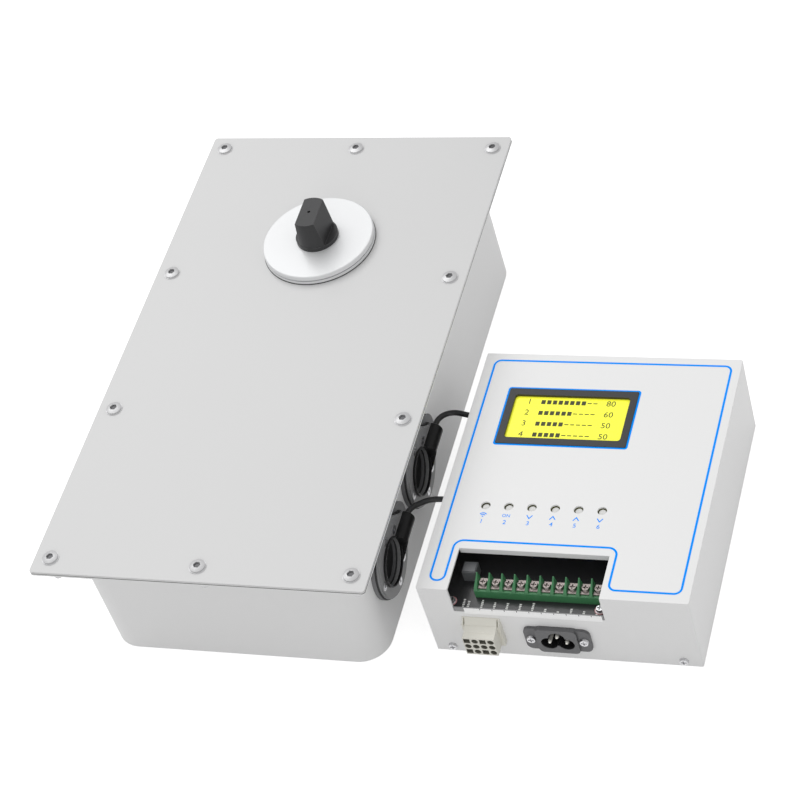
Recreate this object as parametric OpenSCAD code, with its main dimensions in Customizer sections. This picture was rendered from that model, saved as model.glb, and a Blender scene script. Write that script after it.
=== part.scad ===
// In-ground swing door operator with the control unit that it is wired to, in millimetres.
// The origin is on the spindle's axis, in the plane of the tank's flat underside.
// +Z is up, +X points at the control unit and +Y at the spindle end of the tank.

/* [Cover plate] */
// Width of the cover plate and of the tank's flange
plate_w = 210; // [206:1:216]
// Length of the cover plate and of the tank's flange
plate_l = 374; // [366:1:390]
// Thickness of the cover plate
plate_t = 1.5; // [1.2:0.1:2.5]
// Corner radius of the cover plate
plate_corner = 2; // [1:0.5:4]
// Distance from the plate's spindle end to the spindle's axis
spindle_inset = 100; // [99:0.5:104]
// Radius of the hole in the plate round the spindle
plate_bore_r = 21; // [20:0.5:24]

/* [Tank] */
// Width of the flange outside the tank's long walls
overhang_x = 15.5; // [14:0.5:17]
// Width of the flange outside the tank's end walls
overhang_y = 18; // [17:0.5:20]
// Outside radius of the tank's vertical corners
tank_corner = 18; // [14:0.5:20]
// Thickness of the tank's wall
tank_wall = 1.5; // [1:0.1:2]
// Thickness of the tank's floor
tank_floor = 2; // [1.5:0.1:3]
// Height from the tank's underside to the top of its flange
tank_h = 91.4; // [90:0.2:96]
// Thickness of the tank's flange
flange_t = 1.2; // [1:0.1:2]
// Thickness of the gasket under the cover plate
gasket_t = 0.5; // [0.4:0.1:1]

/* [Cover screws] */
// Thread diameter of the cover screws
screw_d = 6; // [5:0.5:6]
// Length of the cover screws under the head
screw_len = 16; // [12:1:20]
// Head diameter of the cover screws
screw_head_d = 9.6; // [9:0.1:10.5]
// Head height of the cover screws
screw_head_h = 1.8; // [1.6:0.1:3.4]
// Size across the flats of the cover screws' sockets
screw_socket = 4; // [3:0.5:4.5]
// Outside diameter of the washers
washer_d = 10.6; // [10.2:0.1:12]
// Thickness of the washers
washer_t = 0.4; // [0.3:0.1:1.2]
// Distance of the side screws from the plate's long edges
screw_edge_x = 10.5; // [9:0.1:11]
// Distance of the end screws from the plate's short edges
screw_edge_y = 11; // [9:0.1:11.5]

/* [Cap] */
// Radius of the turning cap disc
cap_r = 36.25; // [32:0.25:40]
// Thickness of the turning cap disc
cap_t = 3.2; // [2:0.1:4]
// Bevel at the cap disc's upper edge
cap_bevel = 0.5; // [0.2:0.1:0.8]
// How far the fixed ring stands out past the cap disc
ring_lip = 0.25; // [0.1:0.05:1]
// Thickness of the fixed ring under the cap disc
ring_t = 2.4; // [1.5:0.1:3]
// Thickness of the rubber seal between ring and cap disc
seal_t = 0.5; // [0.3:0.1:1]

/* [Spindle] */
// Radius of the spindle's collar above the cap disc
collar_r = 13.75; // [13.7:0.05:15]
// Radius of the spindle through the cap disc and the shaft seal
neck_r = 13.5; // [13:0.1:13.6]
// Height of the collar above the cap disc
collar_h = 2.8; // [2:0.1:6]
// Height of the flat-sided head above the collar
head_h = 19.4; // [15:0.2:22]
// Radius of the head's round ends at the top
head_top_r = 12.9; // [12:0.1:13.4]
// Distance between the head's flats at the collar
flat_root = 17; // [15:0.2:19]
// Distance between the head's flats at the top
flat_top = 12.6; // [11:0.2:14]
// Radius of the spindle inside the gear's hub
gear_seat_r = 12; // [11.8:0.05:12.2]
// Furthest that the spindle turns either way from the closed door
swing_deg = 105; // [90:1:120]

/* [Bearings] */
// Bore diameter of the upper bearing
ub_bore = 25; // [24.6:0.1:25.6]
// Outside diameter of the upper bearing
ub_od = 52; // [50:0.5:54]
// Width of the upper bearing
ub_w = 15; // [14:0.5:16]
// Bore diameter of the lower bearing
lb_bore = 20; // [19:0.5:21]
// Outside diameter of the lower bearing
lb_od = 42; // [40:0.5:44]
// Width of the lower bearing
lb_w = 12; // [11:0.5:13]
// Number of balls in each bearing
ball_n = 9; // [7:1:9]
// Thickness of the shaft seal above the upper bearing
oil_seal_t = 3; // [2:0.5:4]
// Running clearance of shafts and fitted pieces
fit_gap = 0.05; // [0.02:0.01:0.1]

/* [Gears] */
// Module of the output gear and its pinion
out_m = 2; // [1.95:0.05:2]
// Teeth of the output gear on the spindle
out_z = 64; // [60:4:64]
// Teeth of the intermediate pinion
pin_z = 14; // [13:1:14]
// Face width of the output gear
out_face = 14; // [12:0.5:15]
// Module of the intermediate gear and the drive pinion
in_m = 1.25; // [1.2:0.05:1.25]
// Teeth of the intermediate gear
idl_z = 80; // [76:4:80]
// Teeth of the drive pinion
drv_z = 16; // [14:1:16]
// Face width of the intermediate gear
in_face = 8; // [6:0.5:9]
// Pressure angle of the teeth
pressure = 25; // [20:1:25]
// How much thinner each tooth is than the space it runs in
backlash = 0.3; // [0.2:0.05:0.5]
// Height of the output gear's underside above the tank's underside
gear_z = 40; // [39:0.5:41]
// Radius of the intermediate shaft in its bushes
idler_r = 6; // [5:0.5:6.5]

/* [Gear case] */
// Thickness of the gear case's walls
case_wall = 5; // [4:0.5:5.5]
// Thickness of the gear case's floor
case_floor = 6; // [5:0.5:7]
// Thickness of the gear case's lid
lid_t = 6; // [5:0.5:7]
// Thickness of the shelf that carries the motor
shelf_t = 6; // [5:0.5:6.5]
// Clear gap between gear teeth and the case
tooth_gap = 2.5; // [2:0.1:3]
// Radius of the motor's can
motor_r = 36; // [32:0.5:37]
// Height of the motor's can
motor_h = 28; // [24:0.5:29]
// Radius of the gearhead's can
gearhead_r = 25; // [22:0.5:25.5]
// Thickness of the gearhead's flange
gearhead_flange_t = 4; // [3:0.5:5]
// Thread diameter of the case screws
case_screw_d = 5; // [4:0.5:5]
// Length of the case screws under the head
case_screw_len = 10; // [9.5:0.5:11]

/* [Cable glands] */
// Radius of the glands' round flanges
gland_r = 24; // [23.8:0.1:24.8]
// Radius of the round recess in each gland
gland_bore_r = 14.2; // [12:0.1:14.4]
// Depth of the recess below the gland's face
gland_recess = 4.8; // [4:0.1:5.2]
// Thickness of the raised seat on the tank's wall
gland_seat_t = 2.5; // [2:0.1:3]
// Thickness of the gland's gasket
gland_gasket_t = 1; // [0.6:0.1:1.6]
// Thickness of the gland's flange
gland_flange_t = 2; // [1.8:0.1:2.6]
// Height of the glands' centres above the tank's underside
gland_z = 45.8; // [44:0.2:49]
// Distance from the tank's gland end to the lower gland
gland_end = 41.2; // [40:0.2:43]
// Distance between the two glands
gland_pitch = 69.5; // [65:0.5:72]
// Radius of the barrel that the lead leaves through
barrel_r = 5.5; // [5:0.1:5.6]
// Reach of the barrel from the gland's centre
barrel_reach = 31.1; // [30:0.1:32]
// Radius of the circle of gland screws
gland_screw_circle = 18.6; // [18.4:0.1:18.8]

/* [Leads] */
// Diameter of the two leads
lead_d = 3.6; // [2.8:0.1:3.8]

/* [Control unit] */
// Width of the control unit
unit_w = 160; // [158:1:166]
// Length of the control unit
unit_l = 184; // [182:1:200]
// Height of the control unit
unit_h = 58; // [57:0.5:62]
// Thickness of the control unit's sheet metal
sheet_t = 1.2; // [1:0.1:1.5]
// Gap between the cover plate's edge and the control unit
unit_gap = 13.7; // [13.7:0.1:40]
// Distance from the first gland back to the control unit's centre
unit_set = 5.2; // [2:0.2:9]

/* [Display] */
// Width of the display's frame
bezel_w = 80.5; // [78:0.5:84]
// Length of the display's frame
bezel_l = 44; // [42:0.5:48]
// Width of the display's window
window_w = 71.7; // [68:0.1:74]
// Length of the display's window
window_l = 34.2; // [32:0.1:38]

/* [Buttons] */
// Distance between button holes
button_pitch = 14.08; // [12:0.02:14.5]
// Radius of the button holes
button_hole_r = 2.85; // [2.7:0.05:3.2]
// Radius of the button caps
button_r = 2.4; // [2:0.05:2.5]
// Depth of a button's top below the cover
button_sink = 1.4; // [0.8:0.1:2]
// Travel of a button
button_travel = 0.3; // [0.2:0.05:0.5]

/* [Terminals] */
// Number of terminals
terminal_n = 10; // [8:1:10]
// Distance between terminals
terminal_pitch = 7.62; // [7:0.02:7.62]
// Width of the terminal window in the cover
cut_w = 89.8; // [88:0.2:92]
// Length of the terminal window in the cover's top
cut_l = 30.7; // [29:0.1:33]
// Height of the top of the main board
board_z = 40; // [39:0.5:42]
// Thickness of the main board
board_t = 1.6; // [1:0.1:2]

/* [Sockets] */
// Pitch of the socket's contacts
header_pitch = 4.8; // [4.2:0.1:5]
// How far the contact socket stands out of the front
header_out = 12; // [8:0.5:14]
// Width of the mains inlet's body
inlet_w = 24.6; // [24:0.2:25]
// Height of the mains inlet's body
inlet_h = 20.6; // [20:0.2:22]
// Distance between the mains inlet's screws
inlet_screw_pitch = 31.6; // [31.5:0.1:33]
// Radius of each lobe of the mains inlet
lobe_r = 4.9; // [4.6:0.1:5.2]
// Depth of the mains inlet's recess
inlet_depth = 15; // [14.5:0.5:17]

/* [Hidden] */
$fn = 64;
eps = 0.01;

// Cover plate and tank
plate_y = spindle_inset - plate_l/2;
tank_w = plate_w - 2*overhang_x;
tank_l = plate_l - 2*overhang_y;
z_gasket = tank_h;
z_plate = z_gasket + gasket_t;
z_top = z_plate + plate_t;
screw_x = plate_w/2 - screw_edge_x;
screw_y = plate_l/2 - screw_edge_y;
cover_spots = [for (x = [-1, 0, 1], y = [-1, -1/3, 1/3, 1])
    if (x != 0 || abs(y) == 1) [x*screw_x, plate_y + y*screw_y]];
hole_play = 0.3;
screw_waist_r = screw_d/2 - 0.5;

// Cap and spindle
ring_r = cap_r + ring_lip;
seal_inset = 0.9;
seal_r = cap_r - seal_inset;
seal_band = 6;
cap_gap = 0.1;
z_seal = z_top + ring_t;
z_cap = z_seal + seal_t + cap_gap;
z_collar = z_cap + cap_t;
z_head = z_collar + collar_h;
z_spindle_top = z_head + head_h;
centre_mark_d = 2;
centre_mark_h = 3;

// Bearings
z_case = tank_floor;
z_case_in = z_case + case_floor;
bearing_relief = 2;
z_lb = z_case_in + bearing_relief;
plate_clear = 0.9;
z_shaft_seal_top = z_plate - plate_clear;
z_shaft_seal = z_shaft_seal_top - oil_seal_t;
z_ub = z_shaft_seal - ub_w;
shaft_seal_r = 20;
race_share = 0.27;
groove_play = 0.1;
bearings = [[z_ub, ub_bore/2, ub_od/2, ub_w], [z_lb, lb_bore/2, lb_od/2, lb_w]];
lb_boss_wall = 5;
ub_boss_wall = 5;

// Gear train, with the intermediate shaft and the motor in line behind the spindle
centre_1 = out_m*(out_z + pin_z)/2;
centre_2 = in_m*(idl_z + drv_z)/2;
idler_y = -centre_1;
motor_y = -(centre_1 + centre_2);
out_tip = out_m*(out_z/2 + 1);
out_root = out_m*(out_z/2 - 1.25);
pin_tip = out_m*(pin_z/2 + 1);
idl_tip = in_m*(idl_z/2 + 1);
idl_root = in_m*(idl_z/2 - 1.25);
rim_t = 7.5;
web_t = 6;
hub_r = 20;
sleeve_r = 16;
hub_drop = 6;
z_hub = gear_z - hub_drop;
pin_over = 2;
shelf_clear = 4;
z_shelf_top = gear_z + out_face + shelf_clear;
z_shelf = z_shelf_top - shelf_t;
idler_clear = 2;
z_idler = z_shelf_top + idler_clear;
idler_seat_r = idler_r + 1;
idler_collar_r = idler_r + 3;
bush_wall = 3;
bush_h = 9;
bush_boss_wall = 3;
drive_r = 4;
key_w = 8;
key_deep = 4;
key_out = 3.3;
key_l = 20;
ring_groove = 0.8;
ring_out = 3.5;
ring_h = 1.5;
web_holes = 6;
web_hole_r = 8;
web_hole_at = (hub_r + out_root - rim_t)/2;

// End stop: a pin on the output gear and two rubber buffers on the case's floor
stop_at = 45;
stop_r = 5;
stop_drop = 14;
buffer_r = 6;
buffer_over = 10;
stop_clear = 0.3;
buffer_turn = swing_deg + 2*asin((stop_r + buffer_r + stop_clear)/(2*stop_at));
z_stop = gear_z - stop_drop;

// Gear case
pot_r = out_tip + tooth_gap;
lobe_r_in = pin_tip + 0.9;
top_half = idl_tip + 1.25;
case_end = -motor_y + motor_r + 4;
case_round = 10;
z_lid = z_ub;
screw_boss_r = 6;
side_boss_x = top_half + 6.5;
lid_spots = concat(
    [for (a = [-15, 40, 90, 140, 195]) [(pot_r + case_wall)*cos(a), (pot_r + case_wall)*sin(a)]],
    [for (x = [-1, 1], y = [motor_y + 30, motor_y - 34]) [x*side_boss_x, y]]);
foot_at = pot_r + case_wall + 7;
foot_spots = [for (a = [45:90:315]) [foot_at*cos(a), foot_at*sin(a)]];
foot_r = 8;
foot_stud_d = 6;
foot_stud_h = 14;
foot_nut_af = 10;
foot_nut_h = 5;
leg_r = 8;
leg_spots = [for (x = [-1, 1]) [x*(top_half - 5), leg_r + 1 - case_end]];
gearhead_screw_at = gearhead_r + 5;
gearhead_flange_r = gearhead_screw_at + 4;
gearhead_body_h = 16;
pilot_r = 11;
pilot_over = 5;
z_gearhead_flange = z_shelf - gearhead_flange_t;
z_gearhead = z_gearhead_flange - gearhead_body_h;
z_motor = z_gearhead - motor_h;
case_head_d = 8.5;
case_head_h = 5;
case_socket = 4;

// Cable glands
gland_x = tank_w/2;
gland_back = tank_l/2 - plate_y - gland_end - gland_pitch;
gland_hole_r = 1.65;
gland_screw_r = 1.5;
gland_head_r = 2.75;
gland_head_h = 1.4;
gland_angles = [-90, -43, 43, 90, 180];
gland_bore_at = [-1.2, 1.2];
gland_flange_at = [2.1, 1.2];
gland_nose = [23, 3];
gland_face = gland_seat_t + gland_gasket_t + gland_flange_t;
barrel_side = 4.2;
barrel_up = 1;
barrel_bevel = 0.8;

// Routes of the two leads from the end of the gland's barrel to the grommet, chosen by hand:
// the share of the way across, then millimetres along the tank and upwards
shape_upper = [[0, 0, 0], [0, 1.98, 0], [0.0039, 3.96, 0.1], [0.0197, 5.9, 0.22], [0.052, 7.71, 0.36],
    [0.1, 9.3, 0.45], [0.1591, 10.6, 0.46], [0.2272, 11.58, 0.42], [0.3012, 12.24, 0.34],
    [0.378, 12.61, 0.24], [0.4559, 12.7, 0.11], [0.5339, 12.57, -0.02], [0.6102, 12.28, -0.16],
    [0.687, 11.91, -0.31], [0.7638, 11.63, -0.43], [0.8425, 11.5, -0.5], [1, 11.5, -0.5]];
shape_lower = [[0, 0, 0], [0, 0.9, 0], [0.0065, 2.46, 0.08], [0.0255, 3.95, 0.2], [0.0563, 5.31, 0.35],
    [0.0866, 6.2, 0.47], [0.1299, 7.2, 0.6], [0.1811, 8.2, 0.7], [0.2362, 9.1, 0.78],
    [0.2953, 10, 0.84], [0.3543, 10.9, 0.88], [0.4173, 11.75, 0.85], [0.4862, 12.42, 0.76],
    [0.5551, 12.95, 0.64], [0.626, 13.34, 0.52], [0.6969, 13.59, 0.4], [0.7717, 13.74, 0.31],
    [0.8425, 13.8, 0.25], [1, 13.8, 0.25]];
lead_sides = 8;
grommet_out = 1.1;
lead_gap = 0.03;
lead_inside = 1.5;
barrel_end = [gland_x + gland_face + barrel_up, barrel_reach - gland_back + lead_gap,
    gland_z + barrel_side];
lead_across = plate_w/2 + unit_gap + sheet_t + lead_inside - barrel_end.x;
function route(shape, i) = [for (p = shape)
    barrel_end + [p.x*lead_across, p.y - i*gland_pitch, p.z]];
route_upper = route(shape_upper, 0);
route_lower = route(shape_lower, 1);

// Control unit, in its own frame: x and y from its centre, z from its underside
unit_x = plate_w/2 + unit_gap + unit_w/2;
unit_y = -gland_back - unit_set;
sheet_play = 0.2;
front_y = -unit_l/2;
bezel_x = 61.8 - unit_w/2;
bezel_y = unit_l/2 - 50.6;
bezel_rise = 0.4;
bezel_t = 5;
glass_sink = 0.8;
window_corner = 2;
panel_t = 6;
button_x0 = 27.4 - unit_w/2;
button_y = front_y + 63.3;
cut_x0 = 19 - unit_w/2;
cut_lip_h = 4;
board_x0 = 7 - unit_w/2;
board_x1 = unit_w/2 - 44;
board_y1 = button_y + 11;
board_bottom = board_z - board_t;
board_tongue = 0.3;
tab_w = 9;
tab_h = 9;
side_lip_h = 12;
control_screw_x = unit_w/2 - 10.8;
control_screw_z = 4.6;
post_r = 3;
post_spots = [[cut_x0 - 2.6, front_y + 5.7], [cut_x0 + 86.3, front_y + 5.7],
    [board_x0 + 5, board_y1 - 5], [board_x1 - 6, board_y1 - 5]];
post_screw_r = 1.5;
block_x0 = cut_x0 + 12.4;
block_front = front_y + 9.5;
block_deep = 14;
block_low = 6;
block_screw_y = 5.2;
fin_w = 2.2;
fin_tip = 0.8;
fin_h = 13;
relay_size = [8.4, 8, 8.5];
relay_x = cut_x0 + 1.5;
relay_y = front_y + 21;
capacitor_r = 6;
capacitor_h = unit_h - sheet_t - board_z - 3.8;
transformer_at = [unit_w/2 - 30, front_y + 102];
switch_w = 6;
switch_h = 3.6;
stem_r = 1.6;
inlet_x = unit_w/2 - 82.2;
inlet_z = 19;
ear_w = 39.4;
ear_h = 19;
ear_t = 1.8;
inlet_out = 3.2;
pin_spots = [[0, 3], [-5.1, -1.8], [5.1, -1.8]];
inlet_pin_r = 1.15;
inlet_pin_l = inlet_depth - 0.5;
inlet_back = 18;
cell_wall = 0.9;
header_x = 34 - unit_w/2;
header_z = 21.4;
header_cols = 4;
header_rows = 3;
header_deep = 9;
collar_t = 3.5;
header_wedge = 4;
grommet_r = 5;

// Two-dimensional outline of a rectangle with round corners
module rounded_rect(w, l, r) {
    square([w - 2*r, l], center = true);
    square([w, l - 2*r], center = true);
    for (x = [-1, 1], y = [-1, 1])
        translate([x*(w/2 - r), y*(l/2 - r)]) circle(r = r);
}

module slab(w, l, r, h) {
    linear_extrude(h) rounded_rect(w, l, r);
}

module ring(r_out, r_in, h) {
    difference() {
        cylinder(r = r_out, h = h);
        translate([0, 0, -1]) cylinder(r = r_in, h = h + 2);
    }
}

module block(low, high) {
    translate(low) cube(high - low);
}

// Screw with its head above z = 0, its shank below it and a hexagon socket
module socket_screw(d, len, head_d, head_h, socket) {
    difference() {
        union() {
            translate([0, 0, -len]) cylinder(d = d, h = len + 1);
            cylinder(d = head_d, h = head_h);
        }
        translate([0, 0, head_h/2]) cylinder(d = socket/cos(30), h = head_h, $fn = 6);
    }
}

// Button-head screw with a waist down to the flange's underside and its full thread below
module button_head_screw() {
    edge_h = 0.8;
    grip = z_top + washer_t - tank_h + flange_t + fit_gap;
    rise = screw_head_h - edge_h;
    dome_r = (pow(screw_head_d/2, 2) + rise*rise)/(2*rise);
    difference() {
        union() {
            translate([0, 0, -grip]) cylinder(r = screw_waist_r, h = grip + 0.6);
            translate([0, 0, -screw_len]) cylinder(d = screw_d, h = screw_len - grip);
            intersection() {
                cylinder(d = screw_head_d, h = screw_head_h);
                translate([0, 0, screw_head_h - dome_r]) sphere(r = dome_r);
            }
        }
        translate([0, 0, screw_head_h*0.4]) cylinder(d = screw_socket/cos(30), h = screw_head_h, $fn = 6);
    }
}

// Pan-head screw with a cross slot, its head above z = 0
module cross_screw(r, len, head_r, head_h) {
    slot_w = head_r*0.3;
    difference() {
        union() {
            translate([0, 0, -len]) cylinder(r = r, h = len + 0.5);
            cylinder(r1 = head_r, r2 = head_r*0.85, h = head_h);
        }
        for (a = [0, 90]) rotate([0, 0, a])
            translate([-head_r*0.6, -slot_w/2, head_h*0.5]) cube([head_r*1.2, slot_w, head_h]);
    }
}

// Involute gear outline with a tooth centred on the angle that phase gives
function inv(a) = tan(a)*180/PI - a;
function polar(r, a) = [r*cos(a), r*sin(a)];
function half_tooth(m, z, r) = let (rp = m*z/2, rb = rp*cos(pressure))
    90/z - backlash/2/rp*180/PI + inv(pressure) - inv(acos(min(1, rb/max(r, rb))));
function flank(m, z) = let (root = m*(z/2 - 1.25), tip = m*(z/2 + 1),
    low = max(root, m*z/2*cos(pressure)))
    concat(root < low - 0.02 ? [root] : [], [for (k = [0:3]) low + (tip - low)*k/3]);
function gear_points(m, z, phase) = let (f = flank(m, z), n = len(f)) [for (i = [0:z - 1])
    for (k = [0:2*n - 1]) let (up = k < n, r = f[up ? k : 2*n - 1 - k])
    polar(r, phase + i*360/z + (up ? -1 : 1)*half_tooth(m, z, r))];

module gear(m, z, h, phase) {
    linear_extrude(h) polygon(gear_points(m, z, phase));
}

// Places gland pieces: x runs along the tank, y runs up and z runs out of the wall
module at_glands() {
    for (i = [0, 1])
        translate([gland_x, -gland_back - i*gland_pitch, gland_z]) rotate([90, 0, 90]) children();
}

module at_unit() {
    translate([unit_x, unit_y, 0]) children();
}

// Places pieces on the control unit's front: x across, y up and z out of the front
module at_front(x, z) {
    at_unit() translate([x, front_y, z]) rotate([90, 0, 0]) children();
}

// Tank and cover

module tank() color("gainsboro") {
    difference() {
        union() {
            translate([0, plate_y, 0]) difference() {
                slab(tank_w, tank_l, tank_corner, tank_h - flange_t);
                translate([0, 0, tank_floor])
                    slab(tank_w - 2*tank_wall, tank_l - 2*tank_wall, tank_corner - tank_wall, tank_h);
            }
            for (p = foot_spots)
                translate([p.x, p.y, tank_floor/2]) cylinder(d = foot_stud_d, h = tank_floor/2 + foot_stud_h);
        }
        at_glands() translate([0, 0, -tank_wall - 1]) linear_extrude(tank_wall + 2)
            gland_holes(gland_screw_r + fit_gap);
    }
}

// The flange and the gasket share one outline
module flange_outline(hole_r) {
    difference() {
        translate([0, plate_y]) rounded_rect(plate_w, plate_l, plate_corner);
        translate([0, plate_y])
            rounded_rect(tank_w - 2*tank_wall, tank_l - 2*tank_wall, tank_corner - tank_wall);
        for (p = cover_spots) translate(p) circle(r = hole_r);
    }
}

module tank_flange() color("gainsboro") {
    translate([0, 0, tank_h - flange_t]) linear_extrude(flange_t)
        flange_outline(screw_waist_r + fit_gap);
}

module tank_gasket() color("dimgray") {
    translate([0, 0, z_gasket]) linear_extrude(gasket_t) flange_outline(screw_d/2 + hole_play);
}

module cover_plate() color("whitesmoke") {
    translate([0, 0, z_plate]) linear_extrude(plate_t) difference() {
        translate([0, plate_y]) rounded_rect(plate_w, plate_l, plate_corner);
        circle(r = plate_bore_r);
        for (p = cover_spots) translate(p) circle(r = screw_d/2 + hole_play);
    }
}

module cover_screws() color("silver") {
    for (p = cover_spots) translate([p.x, p.y, z_top + washer_t]) button_head_screw();
}

module cover_washers() color("silver") {
    for (p = cover_spots) translate([p.x, p.y, z_top]) ring(washer_d/2, screw_d/2 + hole_play, washer_t);
}

// Cap over the shaft hole: a fixed ring, a rubber seal and a disc that turns with the spindle

module seal_ring() color("silver") {
    translate([0, 0, z_top]) ring(ring_r, plate_bore_r, ring_t);
}

module ring_seal() color("black") {
    translate([0, 0, z_seal]) ring(seal_r, seal_r - seal_band, seal_t);
}

module cap_disc() color("whitesmoke") {
    translate([0, 0, z_cap]) difference() {
        union() {
            cylinder(r = cap_r, h = cap_t - cap_bevel);
            translate([0, 0, cap_t - cap_bevel])
                cylinder(r1 = cap_r, r2 = cap_r - cap_bevel, h = cap_bevel);
        }
        translate([0, 0, -1]) cylinder(r = neck_r + fit_gap, h = cap_t + 2);
    }
}

// Spindle: stepped shaft, collar and a head with two tapered flats

module spindle() color("dimgray") {
    steps = [[lb_bore/2, z_lb - 1.5, z_lb + lb_w], [gear_seat_r, z_lb + lb_w, z_ub],
        [ub_bore/2, z_ub, z_shaft_seal], [neck_r, z_shaft_seal, z_collar],
        [collar_r, z_collar, z_head]];
    reach = collar_r + 5;
    difference() {
        union() {
            for (s = steps) translate([0, 0, s[1]]) cylinder(r = s[0], h = s[2] - s[1]);
            translate([0, 0, z_head]) cylinder(r1 = collar_r - 0.25, r2 = head_top_r, h = head_h);
        }
        for (m = [0, 1]) mirror([m, 0, 0]) rotate([90, 0, 0])
            linear_extrude(2*reach, center = true)
            polygon([[flat_root/2, z_head], [flat_top/2, z_spindle_top],
                [flat_top/2, z_spindle_top + 1], [reach, z_spindle_top + 1], [reach, z_head]]);
        translate([0, 0, z_spindle_top - centre_mark_h])
            cylinder(d = centre_mark_d, h = centre_mark_h + 1);
        block([gear_seat_r - key_deep, -key_w/2, gear_z + out_face/2 - key_l/2],
            [gear_seat_r + 1, key_w/2, gear_z + out_face/2 + key_l/2]);
        translate([0, 0, z_hub - ring_h])
            ring(gear_seat_r + 1, gear_seat_r - ring_groove, ring_h);
    }
}

module spindle_key() color("silver") {
    block([gear_seat_r - key_deep + fit_gap, -key_w/2 + fit_gap, gear_z + out_face/2 - key_l/2 + fit_gap],
        [gear_seat_r + key_out, key_w/2 - fit_gap, gear_z + out_face/2 + key_l/2 - fit_gap]);
}

module retaining_ring() color("silver") {
    translate([0, 0, z_hub - ring_h + fit_gap]) difference() {
        ring(gear_seat_r + ring_out, gear_seat_r - ring_groove + fit_gap, ring_h - 2*fit_gap);
        translate([0, -2, -1]) cube([gear_seat_r + ring_out + 1, 4, ring_h + 2]);
    }
}

// Output gear: toothed rim, thin web with round holes, long hub and the stop pin
module output_gear() color("slategray") {
    pocket = (out_face - web_t)/2;
    difference() {
        union() {
            difference() {
                translate([0, 0, gear_z]) gear(out_m, out_z, out_face, 0);
                for (z = [gear_z - 1, gear_z + out_face - pocket])
                    translate([0, 0, z]) ring(out_root - rim_t, hub_r - 1, pocket + 1);
                for (i = [0:web_holes - 1]) rotate([0, 0, i*360/web_holes])
                    translate([web_hole_at, 0, gear_z - 1]) cylinder(r = web_hole_r, h = out_face + 2);
            }
            translate([0, 0, z_hub]) cylinder(r = hub_r, h = hub_drop + out_face + pin_over);
            translate([0, 0, z_hub]) cylinder(r = sleeve_r, h = z_ub - z_hub);
            translate([0, stop_at, z_stop]) cylinder(r = stop_r, h = stop_drop + pocket + web_t);
        }
        translate([0, 0, z_hub - 1]) cylinder(r = gear_seat_r + fit_gap, h = z_ub - z_hub + 2);
        block([0, -key_w/2, z_hub - 1], [gear_seat_r + key_out + fit_gap, key_w/2, z_ub + 1]);
    }
}

// Ball bearings: each list entry gives height, bore radius, outside radius and width
function ball_pitch(b) = (b[1] + b[2])/2;
function ball_r(b) = (b[2] - b[1])*0.295;

module groove(b) {
    rotate_extrude() translate([ball_pitch(b), b[3]/2]) circle(r = ball_r(b) + groove_play);
}

module outer_races() color("silver") {
    for (b = bearings) translate([0, 0, b[0]]) difference() {
        ring(b[2], b[2] - (b[2] - b[1])*race_share, b[3]);
        groove(b);
    }
}

module inner_races() color("silver") {
    for (b = bearings) translate([0, 0, b[0]]) difference() {
        ring(b[1] + (b[2] - b[1])*race_share, b[1], b[3]);
        groove(b);
    }
}

module bearing_balls() color("lightgray") {
    for (b = bearings) for (i = [0:ball_n - 1]) rotate([0, 0, i*360/ball_n])
        translate([ball_pitch(b), 0, b[0] + b[3]/2]) sphere(r = ball_r(b), $fn = 32);
}

module shaft_seal() color("saddlebrown") {
    translate([0, 0, z_shaft_seal]) ring(shaft_seal_r, neck_r + fit_gap, oil_seal_t);
}

// Gear case: a round pot for the output gear, a lobe for the pinion and a raised shelf for
// the motor. The grow values give the inside outline at 0 and the outside one at case_wall.

module pot_outline(grow) {
    circle(r = pot_r + grow);
    translate([0, idler_y]) circle(r = lobe_r_in + grow);
    translate([-lobe_r_in - grow, idler_y]) square([2*(lobe_r_in + grow), centre_1/2]);
}

// The floor's outline has an ear for each foot
module floor_outline() {
    pot_outline(case_wall);
    for (p = foot_spots) {
        translate(p) circle(r = foot_r);
        rotate(atan2(p.y, p.x)) translate([pot_r, 0.5 - foot_r]) square([foot_at - pot_r, 2*foot_r - 1]);
    }
}

module top_outline(grow) {
    half = top_half + grow;
    end = case_end + grow;
    circle(r = pot_r + grow);
    translate([-half, -end + case_round]) square([2*half, end - case_round]);
    translate([case_round - half, -end]) square([2*(half - case_round), case_round + 1]);
    for (s = [-1, 1]) translate([s*(half - case_round), case_round - end]) circle(r = case_round);
}

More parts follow.
